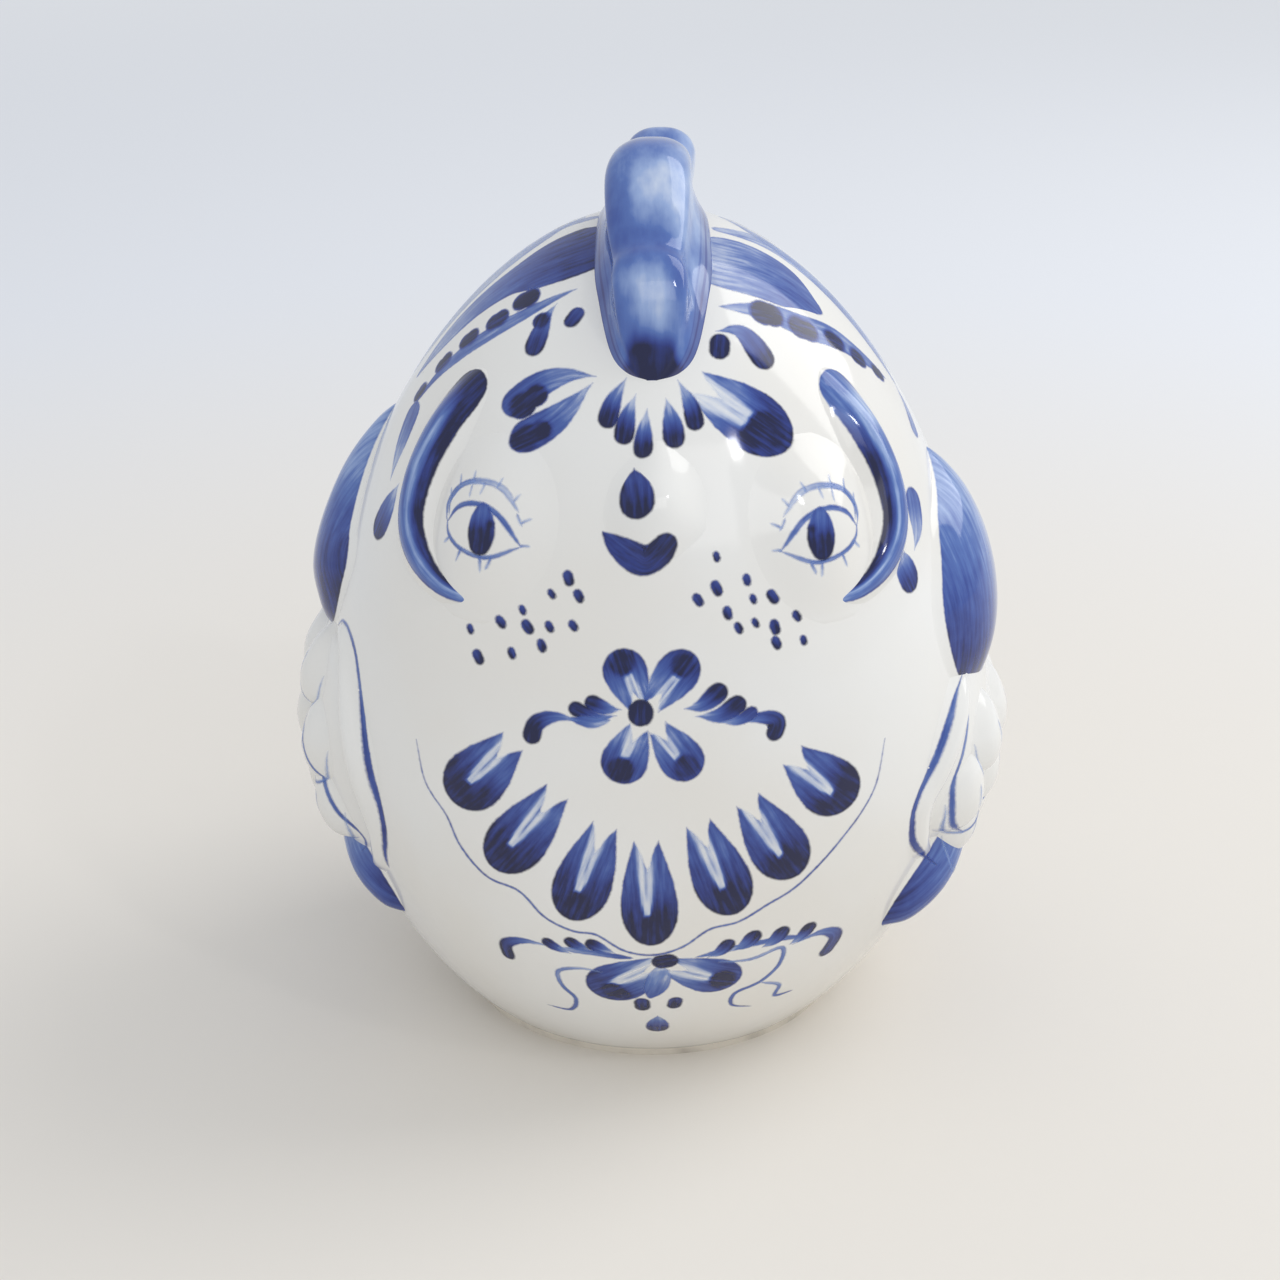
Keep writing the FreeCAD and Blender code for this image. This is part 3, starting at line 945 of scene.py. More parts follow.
def brow_ridge(side, material):
    """Crescent round the outer side of the eye, from the temple to the cheek."""
    anchor = (side * 52, 84)
    stations = flatten(anchor, [
        (49.5, 98.4, 0.6, 0.0),
        (50.6, 96.2, 3.8, 0.8),
        (52.4, 91.0, 5.2, 2.3),
        (52.9, 84.5, 5.2, 2.6),
        (50.4, 79.0, 4.8, 2.3),
        (45.0, 75.2, 3.4, 1.6),
        (37.0, 73.0, 2.1, 0.8),
        (25.6, 73.0, 0.5, 0.0),
    ], side)
    length = smooth_path(stations, RAISED_SPACING)[1][-1]
    # the hen's left brow, on the window side, gets a paler top: a painted reflection of the window
    top_load_and_sheen = 0.5 if side == LEFT else 1.0
    builder = Builder()
    raised(builder, anchor, stations,
           paint=lambda share, u, half: brow_paint(side * share * half, u, length, top_load_and_sheen))
    piece = builder.finish(side_piece("brow_crescent", side), material)
    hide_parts(side_piece("brow_ridge", side))


def beak_bump(material):
    """Small blunt swelling between the eyes."""
    stations = [(0.5, 10.5, 0.6, 0.0), (0.5, 6.5, 5.4, 1.4), (0.3, 2.5, 6.8, 2.5),
                (0.0, -1.5, 6.4, 1.9), (0.0, -6.5, 0.6, 0.0)]
    builder = Builder()
    raised(builder, (0, 84), stations)
    piece = builder.finish("beak_bump", material)
    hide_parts("beak")


# ---------------------------------------------------------------- wings

# The two wings are hand-modelled and differ, so each side has its own tables. Azimuths are
# counted from the front towards the wing's own side.
SHOULDER = {
    # azimuth, z, half width, height
    LEFT: [(84, 83.0, 0.6, 0.0), (83.5, 80.0, 4.6, 1.7), (82.5, 76.0, 9.8, 3.2), (81, 71.0, 13.8, 4.1),
           (80, 64.5, 17.0, 4.3), (79.5, 58.3, 15.6, 3.6), (80.2, 53.6, 9.8, 1.8), (82, 50.8, 0.8, 0.0)],
    RIGHT: [(95, 87.0, 0.6, 0.0), (95, 83.5, 3.6, 1.6), (93.5, 77.5, 8.8, 3.2), (91, 69.5, 13.2, 4.0),
            (88, 64.0, 14.6, 3.8), (86, 60.0, 9.8, 2.2), (86, 57.0, 0.8, 0.0)],
}
RIM = {
    # azimuth, z, half width, height
    LEFT: [(67, 55.0, 0.4, 0.0), (63.5, 52.0, 2.0, 0.9), (60.0, 48.5, 2.4, 1.2), (56.0, 43.5, 2.5, 1.2),
           (53.5, 38.5, 2.4, 1.1), (56.0, 32.5, 2.2, 1.0), (65.0, 27.5, 0.4, 0.0)],
    RIGHT: [(74.0, 59.0, 0.4, 0.0), (69.5, 59.8, 1.8, 0.9), (64.4, 56.6, 2.2, 1.3),
            (60.5, 50.0, 2.4, 1.4), (57.8, 43.0, 2.5, 1.4), (57.0, 35.5, 2.4, 1.3),
            (60.5, 28.5, 2.2, 1.0), (70.0, 24.0, 0.4, 0.0)],
}
FEATHER_ROWS = {
    # centre z, first azimuth, count
    LEFT: [(44.8, 71.5, 4), (37.6, 65.0, 4), (31.0, 69.0, 4)],
    RIGHT: [(52.5, 78.0, 3), (43.5, 72.5, 4), (34.5, 71.0, 4)],
}
FEATHER_STEP = 13.0        # degrees between the scallops of a row
TIPS = {
    # azimuth and z of each feather tip's root, azimuth and z of its point, relative size
    LEFT: [(82, 33.0, 52, 19.6, 1.3), (88, 31.0, 74, 17.5, 1), (98, 31.5, 96, 17.0, 1),
           (110, 32.0, 118, 18.5, 1)],
    RIGHT: [(82, 31.0, 60, 19.0, 1.05), (88, 31.0, 76, 17.5, 1), (98, 31.5, 97, 17.0, 1),
            (110, 32.0, 118, 18.5, 1)],
}
# share of the length, half width, height
TIP_SHAPE = [(0, 0.6, 0.0), (0.2, 4.2, 2.0), (0.55, 6.2, 3.0), (0.84, 4.8, 2.0), (1, 0.7, 0.0)]
WING_ANCHOR = (86, 50)     # azimuth and z that the wing's points are flattened round


def feather_places(side):
    """Azimuth and z of the middle of each scallop of a wing."""
    places = []
    for z, first, count in FEATHER_ROWS[side]:
        places += [(first + FEATHER_STEP * i, z) for i in range(count)]
    return places


def shoulder_paint(outward, u, half):
    """Blue over nearly the whole teardrop, palest at the top and darkest low at the front."""
    edge = (0.84 - np.abs(outward)) * half
    front = smoothstep(0.2, -0.7, outward) * smoothstep(0.15, 0.5, u)
    return edge, 0.3 + 0.38 * smoothstep(0.3, 0.9, u) + 0.24 * front


def tip_paint(outward, u, half):
    """Blue leaf, darkest along its lower edge and tip."""
    edge = (0.8 - np.abs(outward)) * half
    return edge, 0.28 + 0.4 * smoothstep(0.35, 0.95, u) + 0.16 * smoothstep(0.3, -0.8, outward)


def wing(side, white, painted):
    """Shoulder, panel, rim, scallops and feather tips of one wing."""
    anchor = (side * WING_ANCHOR[0], WING_ANCHOR[1])

    def piece(name, node, pieces, material, crown=2.0, over=None, paint=None):
        builder = Builder()
        coloured = paint and (lambda share, u, half: paint(side * share, u, half))
        for stations in pieces:
            raised(builder, anchor, flatten(anchor, stations, side), crown, over, coloured)
        made = builder.finish(side_piece(name, side), material)
        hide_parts(side_piece(node, side))

    piece("wing_pad", "wing_panel", [[
        (86, 60.0, 2.0, 0.0), (86, 57.0, 13.0, 0.7), (85, 51.5, 21.0, 1.9), (84, 43.0, 24.0, 2.9),
        (83, 33.0, 20.0, 2.5), (82, 26.0, 12.0, 1.4), (82, 22.0, 2.0, 0.0),
    ]], white, crown=5.0)
    piece("shoulder_teardrop", "wing_shoulder", [SHOULDER[side]], painted, crown=3.0,
          paint=shoulder_paint)
    tree = surface_tree()
    piece("wing_rim_band", "wing_rim", [RIM[side]], white, over=tree)
    scallops = []
    for azimuth, z in feather_places(side):
        scallops.append([(azimuth, z + 6.5, 0.6, 0.0), (azimuth, z + 4.0, 3.9, 1.4),
                         (azimuth, z, 5.4, 2.4), (azimuth, z - 3.6, 4.6, 2.0),
                         (azimuth, z - 5.8, 0.6, 0.0)])
    piece("wing_scallops", "wing_feathers", scallops, white, crown=2.4, over=tree)
    tips = []
    for azimuth, z, end_azimuth, end_z, size in TIPS[side]:
        turn, drop = end_azimuth - azimuth, end_z - z
        tips.append([(azimuth + turn * share, z + drop * share, half * size, height * size)
                     for share, half, height in TIP_SHAPE])
    piece("wing_feather_tips", "wing_tips", tips, painted, paint=tip_paint)


# ---------------------------------------------------------------- painted motifs

def face_painting(tree, material):
    """Drops under the comb, nose, mouth and freckles."""
    art = Painting(tree)
    face = (0, 82)
    drops = [(-6.0, 15.8, 2.6), (-3.9, 13.7, 2.6), (-1.4, 11.8, 2.5), (2.7, 13.2, 2.8),
             (5.4, 15.5, 2.4)]
    for x, y, width in drops:
        points = [(x * 0.56, y + 4.8), (x * 0.84, y + 1.8), (x, y - 1.7)]
        art.stroke(face, points, width, "drop", (0.3, 1.0))
    art.stroke(face, [(-2.4, 8.9), (-2.1, 6.0), (-1.9, 2.4)], 4.3, "drop", (0.75, 1.0))
    art.band(face, [(-6.3, 1.0, 0.15), (-4.5, -0.7, 1.3), (-2.3, -2.2, 1.9), (-0.9, -2.8, 1.6),
                    (0.7, -1.6, 1.7), (1.6, -0.5, 1.3)], (0.8, 0.95), blobs=[(1.3, -0.6, 1.3)])
    cheek = (0, 72)
    left = [(-23.2, -0.9), (-22.2, -4.4), (-19.2, 0.2), (-17.8, -3.7), (-16.4, 1.8), (-15.8, -0.3),
            (-14.0, -2.6), (-13.0, -0.2), (-12.7, 3.9), (-10.6, 5.9), (-9.3, 3.7), (-10.0, 0.0)]
    right = [(7.8, 8.6), (7.8, 4.7), (5.5, 3.3), (11.6, 5.7), (12.4, 3.3), (14.9, 3.5), (9.2, 1.6),
             (10.6, -0.3), (12.7, 0.3), (15.2, -0.3), (15.4, -2.3), (18.0, 1.0), (18.9, -2.1)]
    for number, centre in enumerate(left + right):
        width = 0.9 + 0.14 * (number * 7 % 4)
        art.dot(cheek, centre, width, width * 1.6, 108.0 + 9 * (number % 3), (0.8, 0.95))
    art.finish("face_painting", material)


def eye_painting(side, tree, material):
    """Lids, pupil and lashes. x grows towards the outer side of the face."""
    art = Painting(tree)
    anchor = (side * 32.6, 81) if side == RIGHT else (side * 31.5, 80.6)

    def line(points, width, load):
        art.line(anchor, mirrored(side, points), width, load)

    line([(5.6, 0.2), (4.2, 2.2), (1.4, 3.1), (-2.0, 2.3), (-5.6, -0.9)], 0.72, (0.55, 0.45))
    line([(5.8, 0.6), (5.0, -1.2), (2.5, -2.7), (-1.6, -3.1), (-5.6, -0.9)], 0.56, (0.5, 0.4))
    line([(5.9, 0.4), (6.4, 2.6), (5.0, 4.9), (1.8, 6.0), (-1.6, 5.6), (-4.4, 3.2)], 0.8, (0.42, 0.3))
    line([(5.6, 1.0), (6.0, 3.0), (4.2, 5.3), (1.2, 5.7)], 0.4, (0.42, 0.3))
    pupil = mirrored(side, [(0.3, 3.0, 0.5), (0.0, 1.5, 1.5), (-0.3, -0.2, 1.9), (-0.4, -1.6, 1.5)])
    dabs = mirrored(side, [(-1.4, 1.0, 0.6), (-0.4, -1.1, 1.4)])
    art.band(anchor, pupil, (0.6, 1.0), blobs=dabs)
    # start of each lash and its reach
    upper = [(6.1, 3.0, 0.7, 1.4), (5.0, 4.8, 0.7, 1.6), (3.0, 5.6, 0.3, 1.6), (1.0, 5.9, 0.2, -1.6),
             (2.9, 5.4, -0.2, -1.7), (-0.8, 5.6, -0.3, 1.4), (-3.4, 4.3, -0.6, 1.2),
             (-4.9, 1.9, -1.2, 0.9), (-4.2, 3.0, -1.0, -1.4), (-5.4, -0.8, -1.2, 0.2)]
    lower = [(2.3, -2.8, 0.7, -1.7), (-0.7, -3.2, -0.2, -1.9), (-2.2, -3.0, 0.6, -1.6),
             (4.6, -1.6, 1.0, -0.9)]
    for x, y, dx, dy in upper:
        line([(x, y), (x + dx * 0.5, y + dy * 0.55), (x + dx, y + dy)], 0.34, (0.34, 0.2))
    for x, y, dx, dy in lower:
        line([(x, y), (x + dx * 0.5, y + dy * 0.5), (x + dx, y + dy)], 0.4, (0.42, 0.25))
    art.finish(side_piece("eye_painting", side), material)


def forehead_painting(tree, material):
    """Leaves either side of the comb's root, with dark dabs near their ends."""
    art = Painting(tree)
    brow = (0, 97)
    art.stroke(brow, [(-7.2, 3.8), (-10.8, 4.3), (-14.6, 3.4), (-18.9, 0.4)], 4.3, "drop", (0.4, 0.7),
               blobs=[(-16.6, 1.1, 1.9), (-14.8, 2.1, 1.6)])
    art.stroke(brow, [(-7.6, 3.0), (-10.6, 0.0), (-13.4, -2.0), (-18.0, -4.0)], 4.6, "drop", (0.4, 0.7),
               blobs=[(-16.2, -3.4, 2.0), (-14.2, -2.8, 1.5)])
    art.petal(brow, (5.4, 2.7), (17.2, -4.4), 8.4, (0.5, 0.9), 0.42,
              blobs=[(14.2, -2.6, 2.6), (12.4, -3.6, 1.7)])
    art.finish("forehead_painting", material)


def chest_flower(tree, material):
    """Four-petalled flower with a berry branch on each side."""
    art = Painting(tree)
    chest = (0, 61)
    petals = [((-1.9, 1.2), (-4.6, 8.4), 5.6), ((-0.2, 1.4), (4.9, 8.0), 5.5),
              ((-1.9, -1.6), (-4.8, -8.8), 5.9), ((0.6, -1.6), (5.3, -8.2), 5.7)]
    for start, end, width in petals:
        x, y = np.array(end) * 0.76 + np.array(start) * 0.24
        art.petal(chest, start, end, width, (0.5, 0.8), 0.24, blobs=[(x, y, width * 0.3)])
    art.dot(chest, (-1.6, 0.4), 3.2, 3.3, 90.0, (1.0, 1.0))
    art.strokes(chest, [
        ("drop", 2.2, 0.4, 0.95, [(-4.0, 0.8), (-6.0, 0.9), (-8.6, 1.9)]),
        ("drop", 2.0, 0.4, 0.95, [(-4.6, 0.0), (-7.4, -0.3), (-10.6, 1.1)]),
        ("leaf", 1.5, 0.4, 0.6, [(-5.4, -0.6), (-7.6, -1.0), (-10.6, -0.6)]),
        ("drop", 2.4, 0.4, 1.0, [(-9.2, -0.9), (-12.4, -0.5), (-14.8, -1.7), (-15.6, -4.4)]),
        ("drop", 2.6, 0.4, 0.95, [(3.8, 0.9), (6.2, 1.4), (9.0, 3.7)]),
        ("drop", 2.6, 0.4, 0.95, [(5.2, -0.1), (8.6, 0.0), (11.4, 1.9)]),
        ("drop", 1.7, 0.4, 0.8, [(8.2, -1.0), (10.6, -0.9), (13.0, 0.5)]),
        ("drop", 2.3, 0.4, 1.0, [(9.8, -1.1), (13.2, -0.7), (15.6, -1.4), (14.9, -3.9)]),
    ])
    art.finish("chest_flower", material)


def chest_fan(tree, material):
    """Fan of seven horseshoe petals over a thin scalloped line."""
    art = Painting(tree)
    breast = (0, 47)
    petals = [((-18.0, 8.9), (-26.2, -1.4)), ((-12.4, 2.9), (-20.9, -10.0)),
              ((-6.3, -1.3), (-11.0, -16.2)), ((-0.9, -3.4), (-0.2, -19.9)),
              ((5.8, -0.9), (10.9, -15.2)), ((12.1, 1.8), (18.9, -10.6)),
              ((17.8, 7.1), (25.9, -1.8))]
    for start, end in petals:
        start, end = np.array(start), np.array(end)
        x, y = end + 0.22 * (start - end)
        art.petal(breast, start, end, 7.5, (0.64, 0.97), blobs=[(x + 0.02 * end[0], y, 1.7)])
    line = [(-30.9, 5.6), (-29.8, 0.0), (-27.0, -3.9), (-25.2, -8.0), (-21.8, -11.6), (-17.5, -12.8),
            (-14.2, -16.4), (-10.6, -18.1), (-7.4, -18.4), (-3.8, -20.9), (0.0, -21.6), (3.8, -20.3),
            (7.4, -17.4), (11.2, -16.6), (15.0, -14.4), (18.4, -12.6), (21.8, -9.6), (24.8, -6.4),
            (27.6, -3.0), (29.3, 0.4), (30.2, 6.0)]
    art.line(breast, line, 0.34, (0.6, 0.6))
    art.finish("chest_fan", material)


def base_flower(tree, material):
    """Small flower with a berry stem, dots and tendrils near the foot."""
    art = Painting(tree)
    low = (0, 22)
    art.petal(low, (1.0, 1.6), (-8.2, -5.4), 8.2, (0.5, 0.85), 0.3,
              blobs=[(-5.4, -4.4, 1.7), (-4.0, -5.4, 1.3)])
    art.petal(low, (2.2, 1.4), (11.6, -3.8), 7.2, (0.5, 0.8), 0.34, blobs=[(9.4, -2.8, 2.0)])
    art.stroke(low, [(1.2, 1.6), (0.6, -2.5), (-0.4, -6.0)], 3.4, "leaf", (0.3, 0.55))
    art.dot(low, (1.6, 2.3), 2.7, 3.6, 10.0, (1.0, 1.0))
    art.dot(low, (-1.4, -7.6), 2.2, 3.3, 95.0, (0.85, 1.0))
    art.dot(low, (3.0, -7.3), 2.0, 3.0, 80.0, (0.85, 1.0))
    art.strokes(low, [
        ("drop", 3.2, 0.4, 0.95, [(0.7, -10.6), (0.7, -12.8), (0.7, -15.8)]),
        ("drop", 1.9, 0.35, 0.95, [(-13.4, 2.9), (-17.2, 2.4), (-19.6, 0.4), (-19.2, -2.8)]),
    ])
    for x, y, size in ((-14.6, 4.0, 1.8), (-11.6, 5.1, 2.0), (-8.8, 5.4, 2.2)):
        art.stroke(low, [(x + 3.8, y - 1.7), (x + 1.6, y - 1.0), (x, y)], size, "drop", (0.35, 0.95))
    art.line(low, [(-12.6, 3.0), (-7.6, 3.2), (-2.6, 2.9)], 1.0, (0.4, 0.6))
    art.line(low, [(5.6, 2.7), (11.0, 3.4), (16.6, 3.0), (20.6, 1.4)], 1.0, (0.4, 0.55))
    for x, y, size in ((10.4, 5.2, 2.2), (13.9, 5.8, 2.5), (17.7, 5.0, 2.5), (21.4, 3.8, 2.3)):
        art.stroke(low, [(x - 3.2, y - 2.8), (x - 1.4, y - 1.9), (x, y)], size, "drop", (0.4, 0.98))
    art.stroke(low, [(18.6, 0.8), (22.6, 0.9), (24.8, -1.6), (23.2, -5.2)], 2.2, "drop", (0.35, 0.9))
    tendrils = [
        [(-6.8, -0.6), (-9.6, -0.4), (-12.6, -2.0), (-12.2, -5.2), (-10.4, -8.0), (-11.2, -11.4),
         (-14.4, -11.8)],
        [(8.6, 1.2), (13.0, 0.4), (17.2, 1.0), (17.0, -2.6), (14.6, -5.4), (11.2, -6.8),
         (10.8, -9.8), (13.6, -11.8)],
        [(14.6, -5.6), (17.2, -7.8), (16.8, -10.6), (19.4, -11.2)],
    ]
    for tendril in tendrils:
        art.line(low, tendril, 0.66, (0.34, 0.6))
    art.finish("base_flower", material)


def right_crown(anchor, side, art):
    """Wide streaked leaf that narrows down the temple, over a branch of berries."""
    wide = [(3.8, 14.6, 3.0), (2.4, 10.8, 5.2), (-0.6, 6.8, 5.2), (-4.2, 2.6, 3.5), (-8.0, -2.4, 2.7),
            (-11.4, -8.0, 2.0), (-14.4, -14.0, 0.4)]
    thin = [(-3.6, 16.5, 0.5), (-9.0, 12.6, 1.5), (-13.6, 5.4, 1.9), (-17.4, -4.0, 1.5),
            (-19.2, -11.0, 0.4)]
    berries = [(1.8, 0.4, 1.7), (1.0, -0.4, 1.6), (-0.6, -3.7, 1.5), (-1.4, -4.5, 1.4),
               (-4.0, -7.4, 1.4), (-4.8, -8.2, 1.3), (-7.0, -11.4, 1.3), (-7.6, -12.3, 1.2),
               (-9.4, -16.0, 1.1), (-9.8, -16.9, 1.0)]
    branch = [(7.4, 4.4), (3.4, -1.6), (-0.2, -5.9), (-3.6, -9.6), (-7.0, -13.8), (-9.4, -18.4)]
    bud = [(6.6, 1.4), (6.8, -1.2), (8.6, -6.4)]
    dab = mirrored(side, [(6.4, -1.7, 1.3)])
    art.band(anchor, mirrored(side, wide), (0.88, 0.42))
    art.band(anchor, mirrored(side, thin), (0.4, 0.3))
    art.stroke(anchor, mirrored(side, branch), 2.4, "leaf", (0.45, 0.55), mirrored(side, berries))
    art.stroke(anchor, mirrored(side, bud), 3.0, "drop", (0.4, 0.95), dab)
    art.dot(anchor, (side * 10.2, 0.8), 2.1, 3.2, 95.0, (0.75, 0.95))


def left_crown(anchor, art):
    """Short blunt leaf, an outer stroke and a branch of larger berries."""
    art.band(anchor, [(-7.2, 12.0, 2.4), (-5.0, 9.0, 4.8), (-1.4, 5.8, 5.4), (2.2, 1.6, 4.6),
                      (4.6, -3.0, 1.0)], (0.36, 0.62))
    art.band(anchor, [(1.0, 13.5, 0.6), (8.0, 8.4, 1.8), (12.4, 0.6, 2.0), (15.4, -8.6, 1.5),
                      (16.8, -15.0, 0.3)], (0.35, 0.45))
    berries = [(-5.8, -0.6, 2.0), (-4.8, -1.4, 1.9), (-1.8, -4.4, 1.9), (-0.6, -5.4, 1.8),
               (3.2, -7.6, 1.6), (4.0, -8.3, 1.4), (6.6, -10.8, 1.4), (7.2, -11.4, 1.3),
               (10.4, -13.4, 1.2), (11.0, -13.9, 1.1)]
    branch = [(-10.6, 3.0), (-5.0, -1.0), (-1.0, -4.6), (3.7, -7.4), (7.4, -10.4), (12.6, -14.6)]
    art.stroke(anchor, branch, 4.0, "leaf", (0.42, 0.5), berries)
    art.stroke(anchor, [(-13.4, 0.4), (-10.6, -1.6), (-10.4, -7.4)], 3.4, "drop", (0.45, 0.95))
    art.dot(anchor, (-14.3, -1.6), 2.6, 3.6, 50.0, (0.9, 1.0))
    art.stroke(anchor, [(16.4, -15.0), (15.8, -19.0), (14.0, -23.0)], 2.2, "drop", (0.4, 0.5))


def crown_painting(side, tree, material):
    """Leaves and berries on the crown, different on each side."""
    art = Painting(tree)
    if side == RIGHT:
        right_crown((-55, 106), 1, art)
    else:
        left_crown((55, 106), art)
    art.finish(side_piece("crown_painting", side), material)


def nape_painting(side, tree, material):
    """The right crown's leaf and berries once more, turned towards the back."""
    art = Painting(tree)
    right_crown((side * 128, 104), side, art)
    art.finish(side_piece("nape_painting", side), material)


def temple_painting(side, tree, material):
    """Two drops between the brow and the wing."""
    art = Painting(tree)
    anchor = (side * 62, 80)
    if side == RIGHT:
        long_drop = [(65.6, 82.0), (67.6, 86.0), (70.6, 91.5)]
        dark_drop = [(61.4, 82.5), (62.4, 79.5), (63.8, 74.8)]
    else:
        long_drop = [(56.4, 74.8), (59.6, 77.2), (62.6, 81.8)]
        dark_drop = [(50.4, 76.0), (51.6, 74.2), (53.4, 70.2)]
    art.stroke(anchor, flatten(anchor, long_drop, side), 3.9, "drop", (0.3, 0.58))
    art.stroke(anchor, flatten(anchor, dark_drop, side), 4.4, "drop", (0.35, 0.9))
    art.finish(side_piece("temple_painting", side), material)


RIM_LINES = {
    # front and rear outline of the rim, as azimuth and z
    LEFT: [
        [(65.5, 55.4), (61.6, 53.0), (57.8, 49.4), (54.0, 45.0), (51.0, 41.5), (50.2, 38.2),
         (52.4, 33.6), (60.7, 28.2)],
        [(65.0, 50.5), (62.4, 45.5), (60.0, 40.5), (61.0, 35.0), (66.0, 32.0)],
    ],
    RIGHT: [
        [(74.6, 59.6), (71.2, 61.3), (66.6, 61.2), (61.6, 58.3), (57.4, 50.8), (54.8, 43.0),
         (53.8, 36.0), (57.0, 28.0)],
        [(78.0, 50.5), (74.5, 47.0), (70.5, 41.5), (66.5, 35.5), (64.0, 31.0), (67.0, 27.5)],
    ],
}


def wing_painting(side, tree, material):
    """Outlines of the wing's rim and of its feathers."""
    art = Painting(tree)
    anchor = (side * WING_ANCHOR[0], WING_ANCHOR[1])

    def outline(stations, width, load):
        art.line(anchor, flatten(anchor, stations, side), width, load)

    front, rear = RIM_LINES[side]
    outline(front, 0.8, (0.5, 0.75))
    outline(rear, 0.6, (0.4, 0.6))
    for azimuth, z in feather_places(side):
        outline([(azimuth - 6.0, z + 0.5), (azimuth - 4.6, z - 3.8), (azimuth, z - 5.6),
                 (azimuth + 4.6, z - 3.8), (azimuth + 6.0, z + 0.5)], 0.4, (0.25, 0.45))
        outline([(azimuth, z + 2.4), (azimuth + 0.4, z - 1.2)], 0.4, (0.3, 0.2))
    art.finish(side_piece("wing_painting", side), material)


def downward(degrees):
    """Unit direction on the flat sheet, turned from straight down."""
    angle = math.radians(degrees)
    return np.array([math.sin(angle), -math.cos(angle)])


def back_painting(tree, material):
    """Fan of five petals under the tail, and drops and leaves behind the comb."""
    art = Painting(tree)
    rump = (180, 38)
    for step in range(-2, 3):
        reach = downward(25 * step)
        art.petal(rump, reach * 8.0 + (0, 10), reach * 23.0 + (0, 10), 7.0, (0.6, 0.98))
    line = []
    for step in range(-12, 13):
        reach = 25.4 - 1.4 * abs(math.cos(math.radians(180 * step / 4.63)))
        line.append(reach * downward(5.4 * step) + (0, 10))
    art.line(rump, line, 0.36, (0.6, 0.6))
    nape = (180, 92)
    for step in range(-2, 3):
        reach = downward(32 * step)
        art.stroke(nape, [reach * 1.6, reach * 4.0, reach * 8.6], 3.0, "drop", (0.35, 0.98))
    for turn in (-1, 1):
        upper = mirrored(turn, [(6.5, 1.6), (12.0, 1.2), (18.0, -3.6)])
        lower = mirrored(turn, [(7.0, 0.2), (11.0, -3.2), (15.0, -8.6)])
        art.stroke(nape, upper, 4.4, "drop", (0.4, 0.8), blobs=[(turn * 16.0, -2.2, 1.9)])
        art.stroke(nape, lower, 4.4, "drop", (0.4, 0.8), blobs=[(turn * 13.6, -6.8, 1.9)])
    art.finish("back_fan", material)


# ---------------------------------------------------------------- scene around the hen

ROOM_COLOUR = (0.92, 0.95, 1.0, 1)
ROOM_STRENGTH = 0.76
HAZE_START = 0.35          # distance in m where the table begins to fade into the room
HAZE_END = 1.5
TABLE_HALF = 30.0


def floor():
    """Plain pale table that fades into the room far away."""
    mesh = bpy.data.meshes.new("table")
    corners = [(-TABLE_HALF, -TABLE_HALF, 0), (TABLE_HALF, -TABLE_HALF, 0),
               (TABLE_HALF, TABLE_HALF, 0), (-TABLE_HALF, TABLE_HALF, 0)]
    mesh.from_pydata(corners, [], [(0, 1, 2, 3)])
    piece = bpy.data.objects.new("table", mesh)
    bpy.context.scene.collection.objects.link(piece)
    nodes = Nodes("pale_table")
    far = nodes.add("VectorMath", {0: nodes.place()}, operation="LENGTH").outputs["Value"]
    haze = nodes.range(far, HAZE_START, HAZE_END)
    tone = nodes.colour_mix(nodes.range(far, 0.1, 0.45), TABLE_NEAR, TABLE_FAR)
    nodes.base(nodes.colour_mix(haze, tone, BLACK))
    nodes.shader.inputs["Emission Color"].default_value = ROOM_COLOUR
    nodes.set(nodes.shader.inputs["Emission Strength"], nodes.math("MULTIPLY", haze, ROOM_STRENGTH))
    nodes.shader.inputs["Roughness"].default_value = 0.85
    gloss = nodes.range(far, HAZE_START, HAZE_END, 0.2, 0.0)
    nodes.set(nodes.shader.inputs["Specular IOR Level"], gloss)
    mesh.materials.append(nodes.material)


def lamp(name, place, size, power, colour, aim=(0, 0, 0.055)):
    """Soft rectangular lamp that faces the hen."""
    data = bpy.data.lights.new(name, "AREA")
    data.shape = "RECTANGLE"
    data.size, data.size_y = size
    data.energy = power
    data.color = colour
    piece = bpy.data.objects.new(name, data)
    piece.location = place
    piece.rotation_euler = (Vector(aim) - Vector(place)).to_track_quat("-Z", "Y").to_euler()
    bpy.context.scene.collection.objects.link(piece)


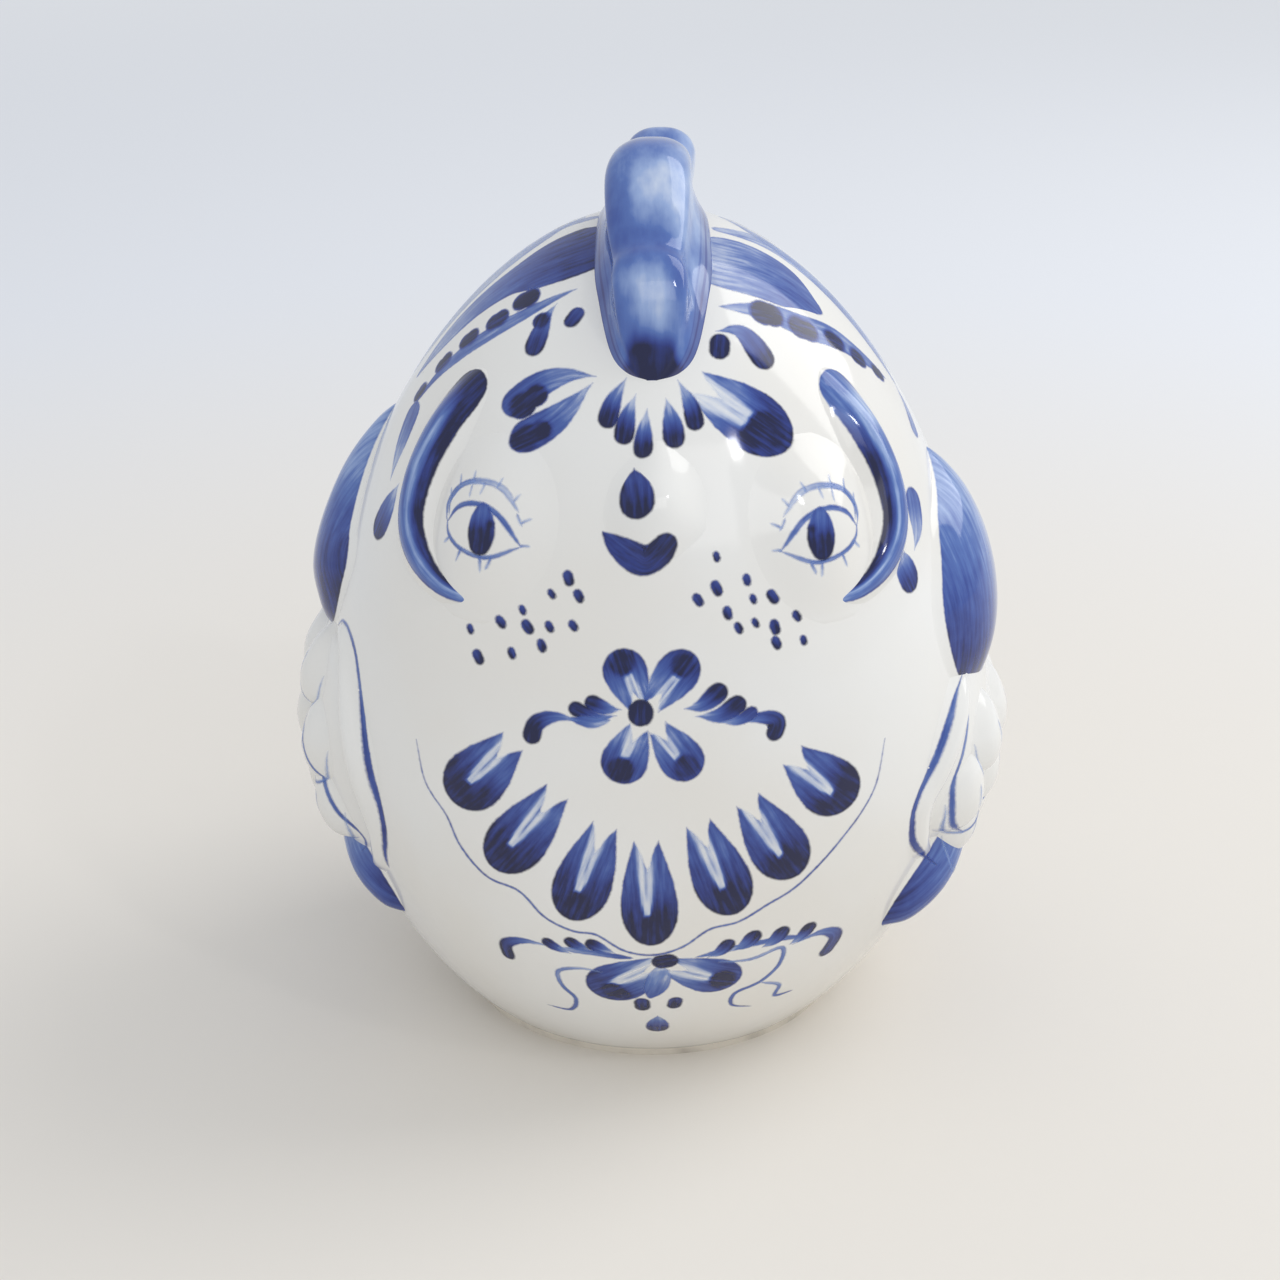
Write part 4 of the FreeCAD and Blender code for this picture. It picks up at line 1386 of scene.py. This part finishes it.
def lights():
    """Large window lamps and the small one whose reflection shows in the glaze."""
    lamp("window_right", (0.8, 0.3, 0.8), (0.7, 0.9), 5.0, (1.0, 0.99, 0.97))
    lamp("room_front", (0.3, -1.1, 0.9), (0.9, 0.5), 1.8, (1.0, 0.98, 0.95))
    lamp("small_window", (0.42, -0.45, 0.62), (0.045, 0.07), 0.3, (1.0, 1.0, 1.0))
    world = bpy.data.worlds.new("soft_room")
    world.use_nodes = True
    background = world.node_tree.nodes["Background"]
    background.inputs["Color"].default_value = ROOM_COLOUR
    background.inputs["Strength"].default_value = ROOM_STRENGTH
    bpy.context.scene.world = world


def camera():
    """Seen from the front and a little above, as a collector would on a table."""
    pitch = math.radians(23.0)
    distance = 0.332
    target = Vector((-0.0017, 0.0, 0.0523))
    data = bpy.data.cameras.new("view")
    data.lens = 64.7
    data.sensor_width = 36.0
    data.clip_start = 0.01
    piece = bpy.data.objects.new("view", data)
    piece.location = target + distance * Vector((0, -math.cos(pitch), math.sin(pitch)))
    piece.rotation_euler = (math.pi / 2 - pitch, 0, 0)
    bpy.context.scene.collection.objects.link(piece)
    bpy.context.scene.camera = piece


def build():
    """Every piece of the hen, then the painting laid over the finished surfaces."""
    white = white_glaze_material()
    painted = painted_glaze_material()
    brush = brush_stroke_material()
    body(white)
    comb(comb_material())
    tail(painted)
    beak_bump(white)
    for side in (LEFT, RIGHT):
        eye_mound(side, white)
        brow_ridge(side, painted)
        wing(side, white, painted)
    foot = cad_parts["foot_ring"]
    foot.data.materials.clear()
    foot.data.materials.append(biscuit_material())

    tree = surface_tree()
    face_painting(tree, brush)
    forehead_painting(tree, brush)
    chest_flower(tree, brush)
    chest_fan(tree, brush)
    base_flower(tree, brush)
    back_painting(tree, brush)
    for side in (LEFT, RIGHT):
        eye_painting(side, tree, brush)
        crown_painting(side, tree, brush)
        nape_painting(side, tree, brush)
        temple_painting(side, tree, brush)
        wing_painting(side, tree, brush)


build()
floor()
lights()
camera()
bpy.context.scene.view_settings.view_transform = "Standard"
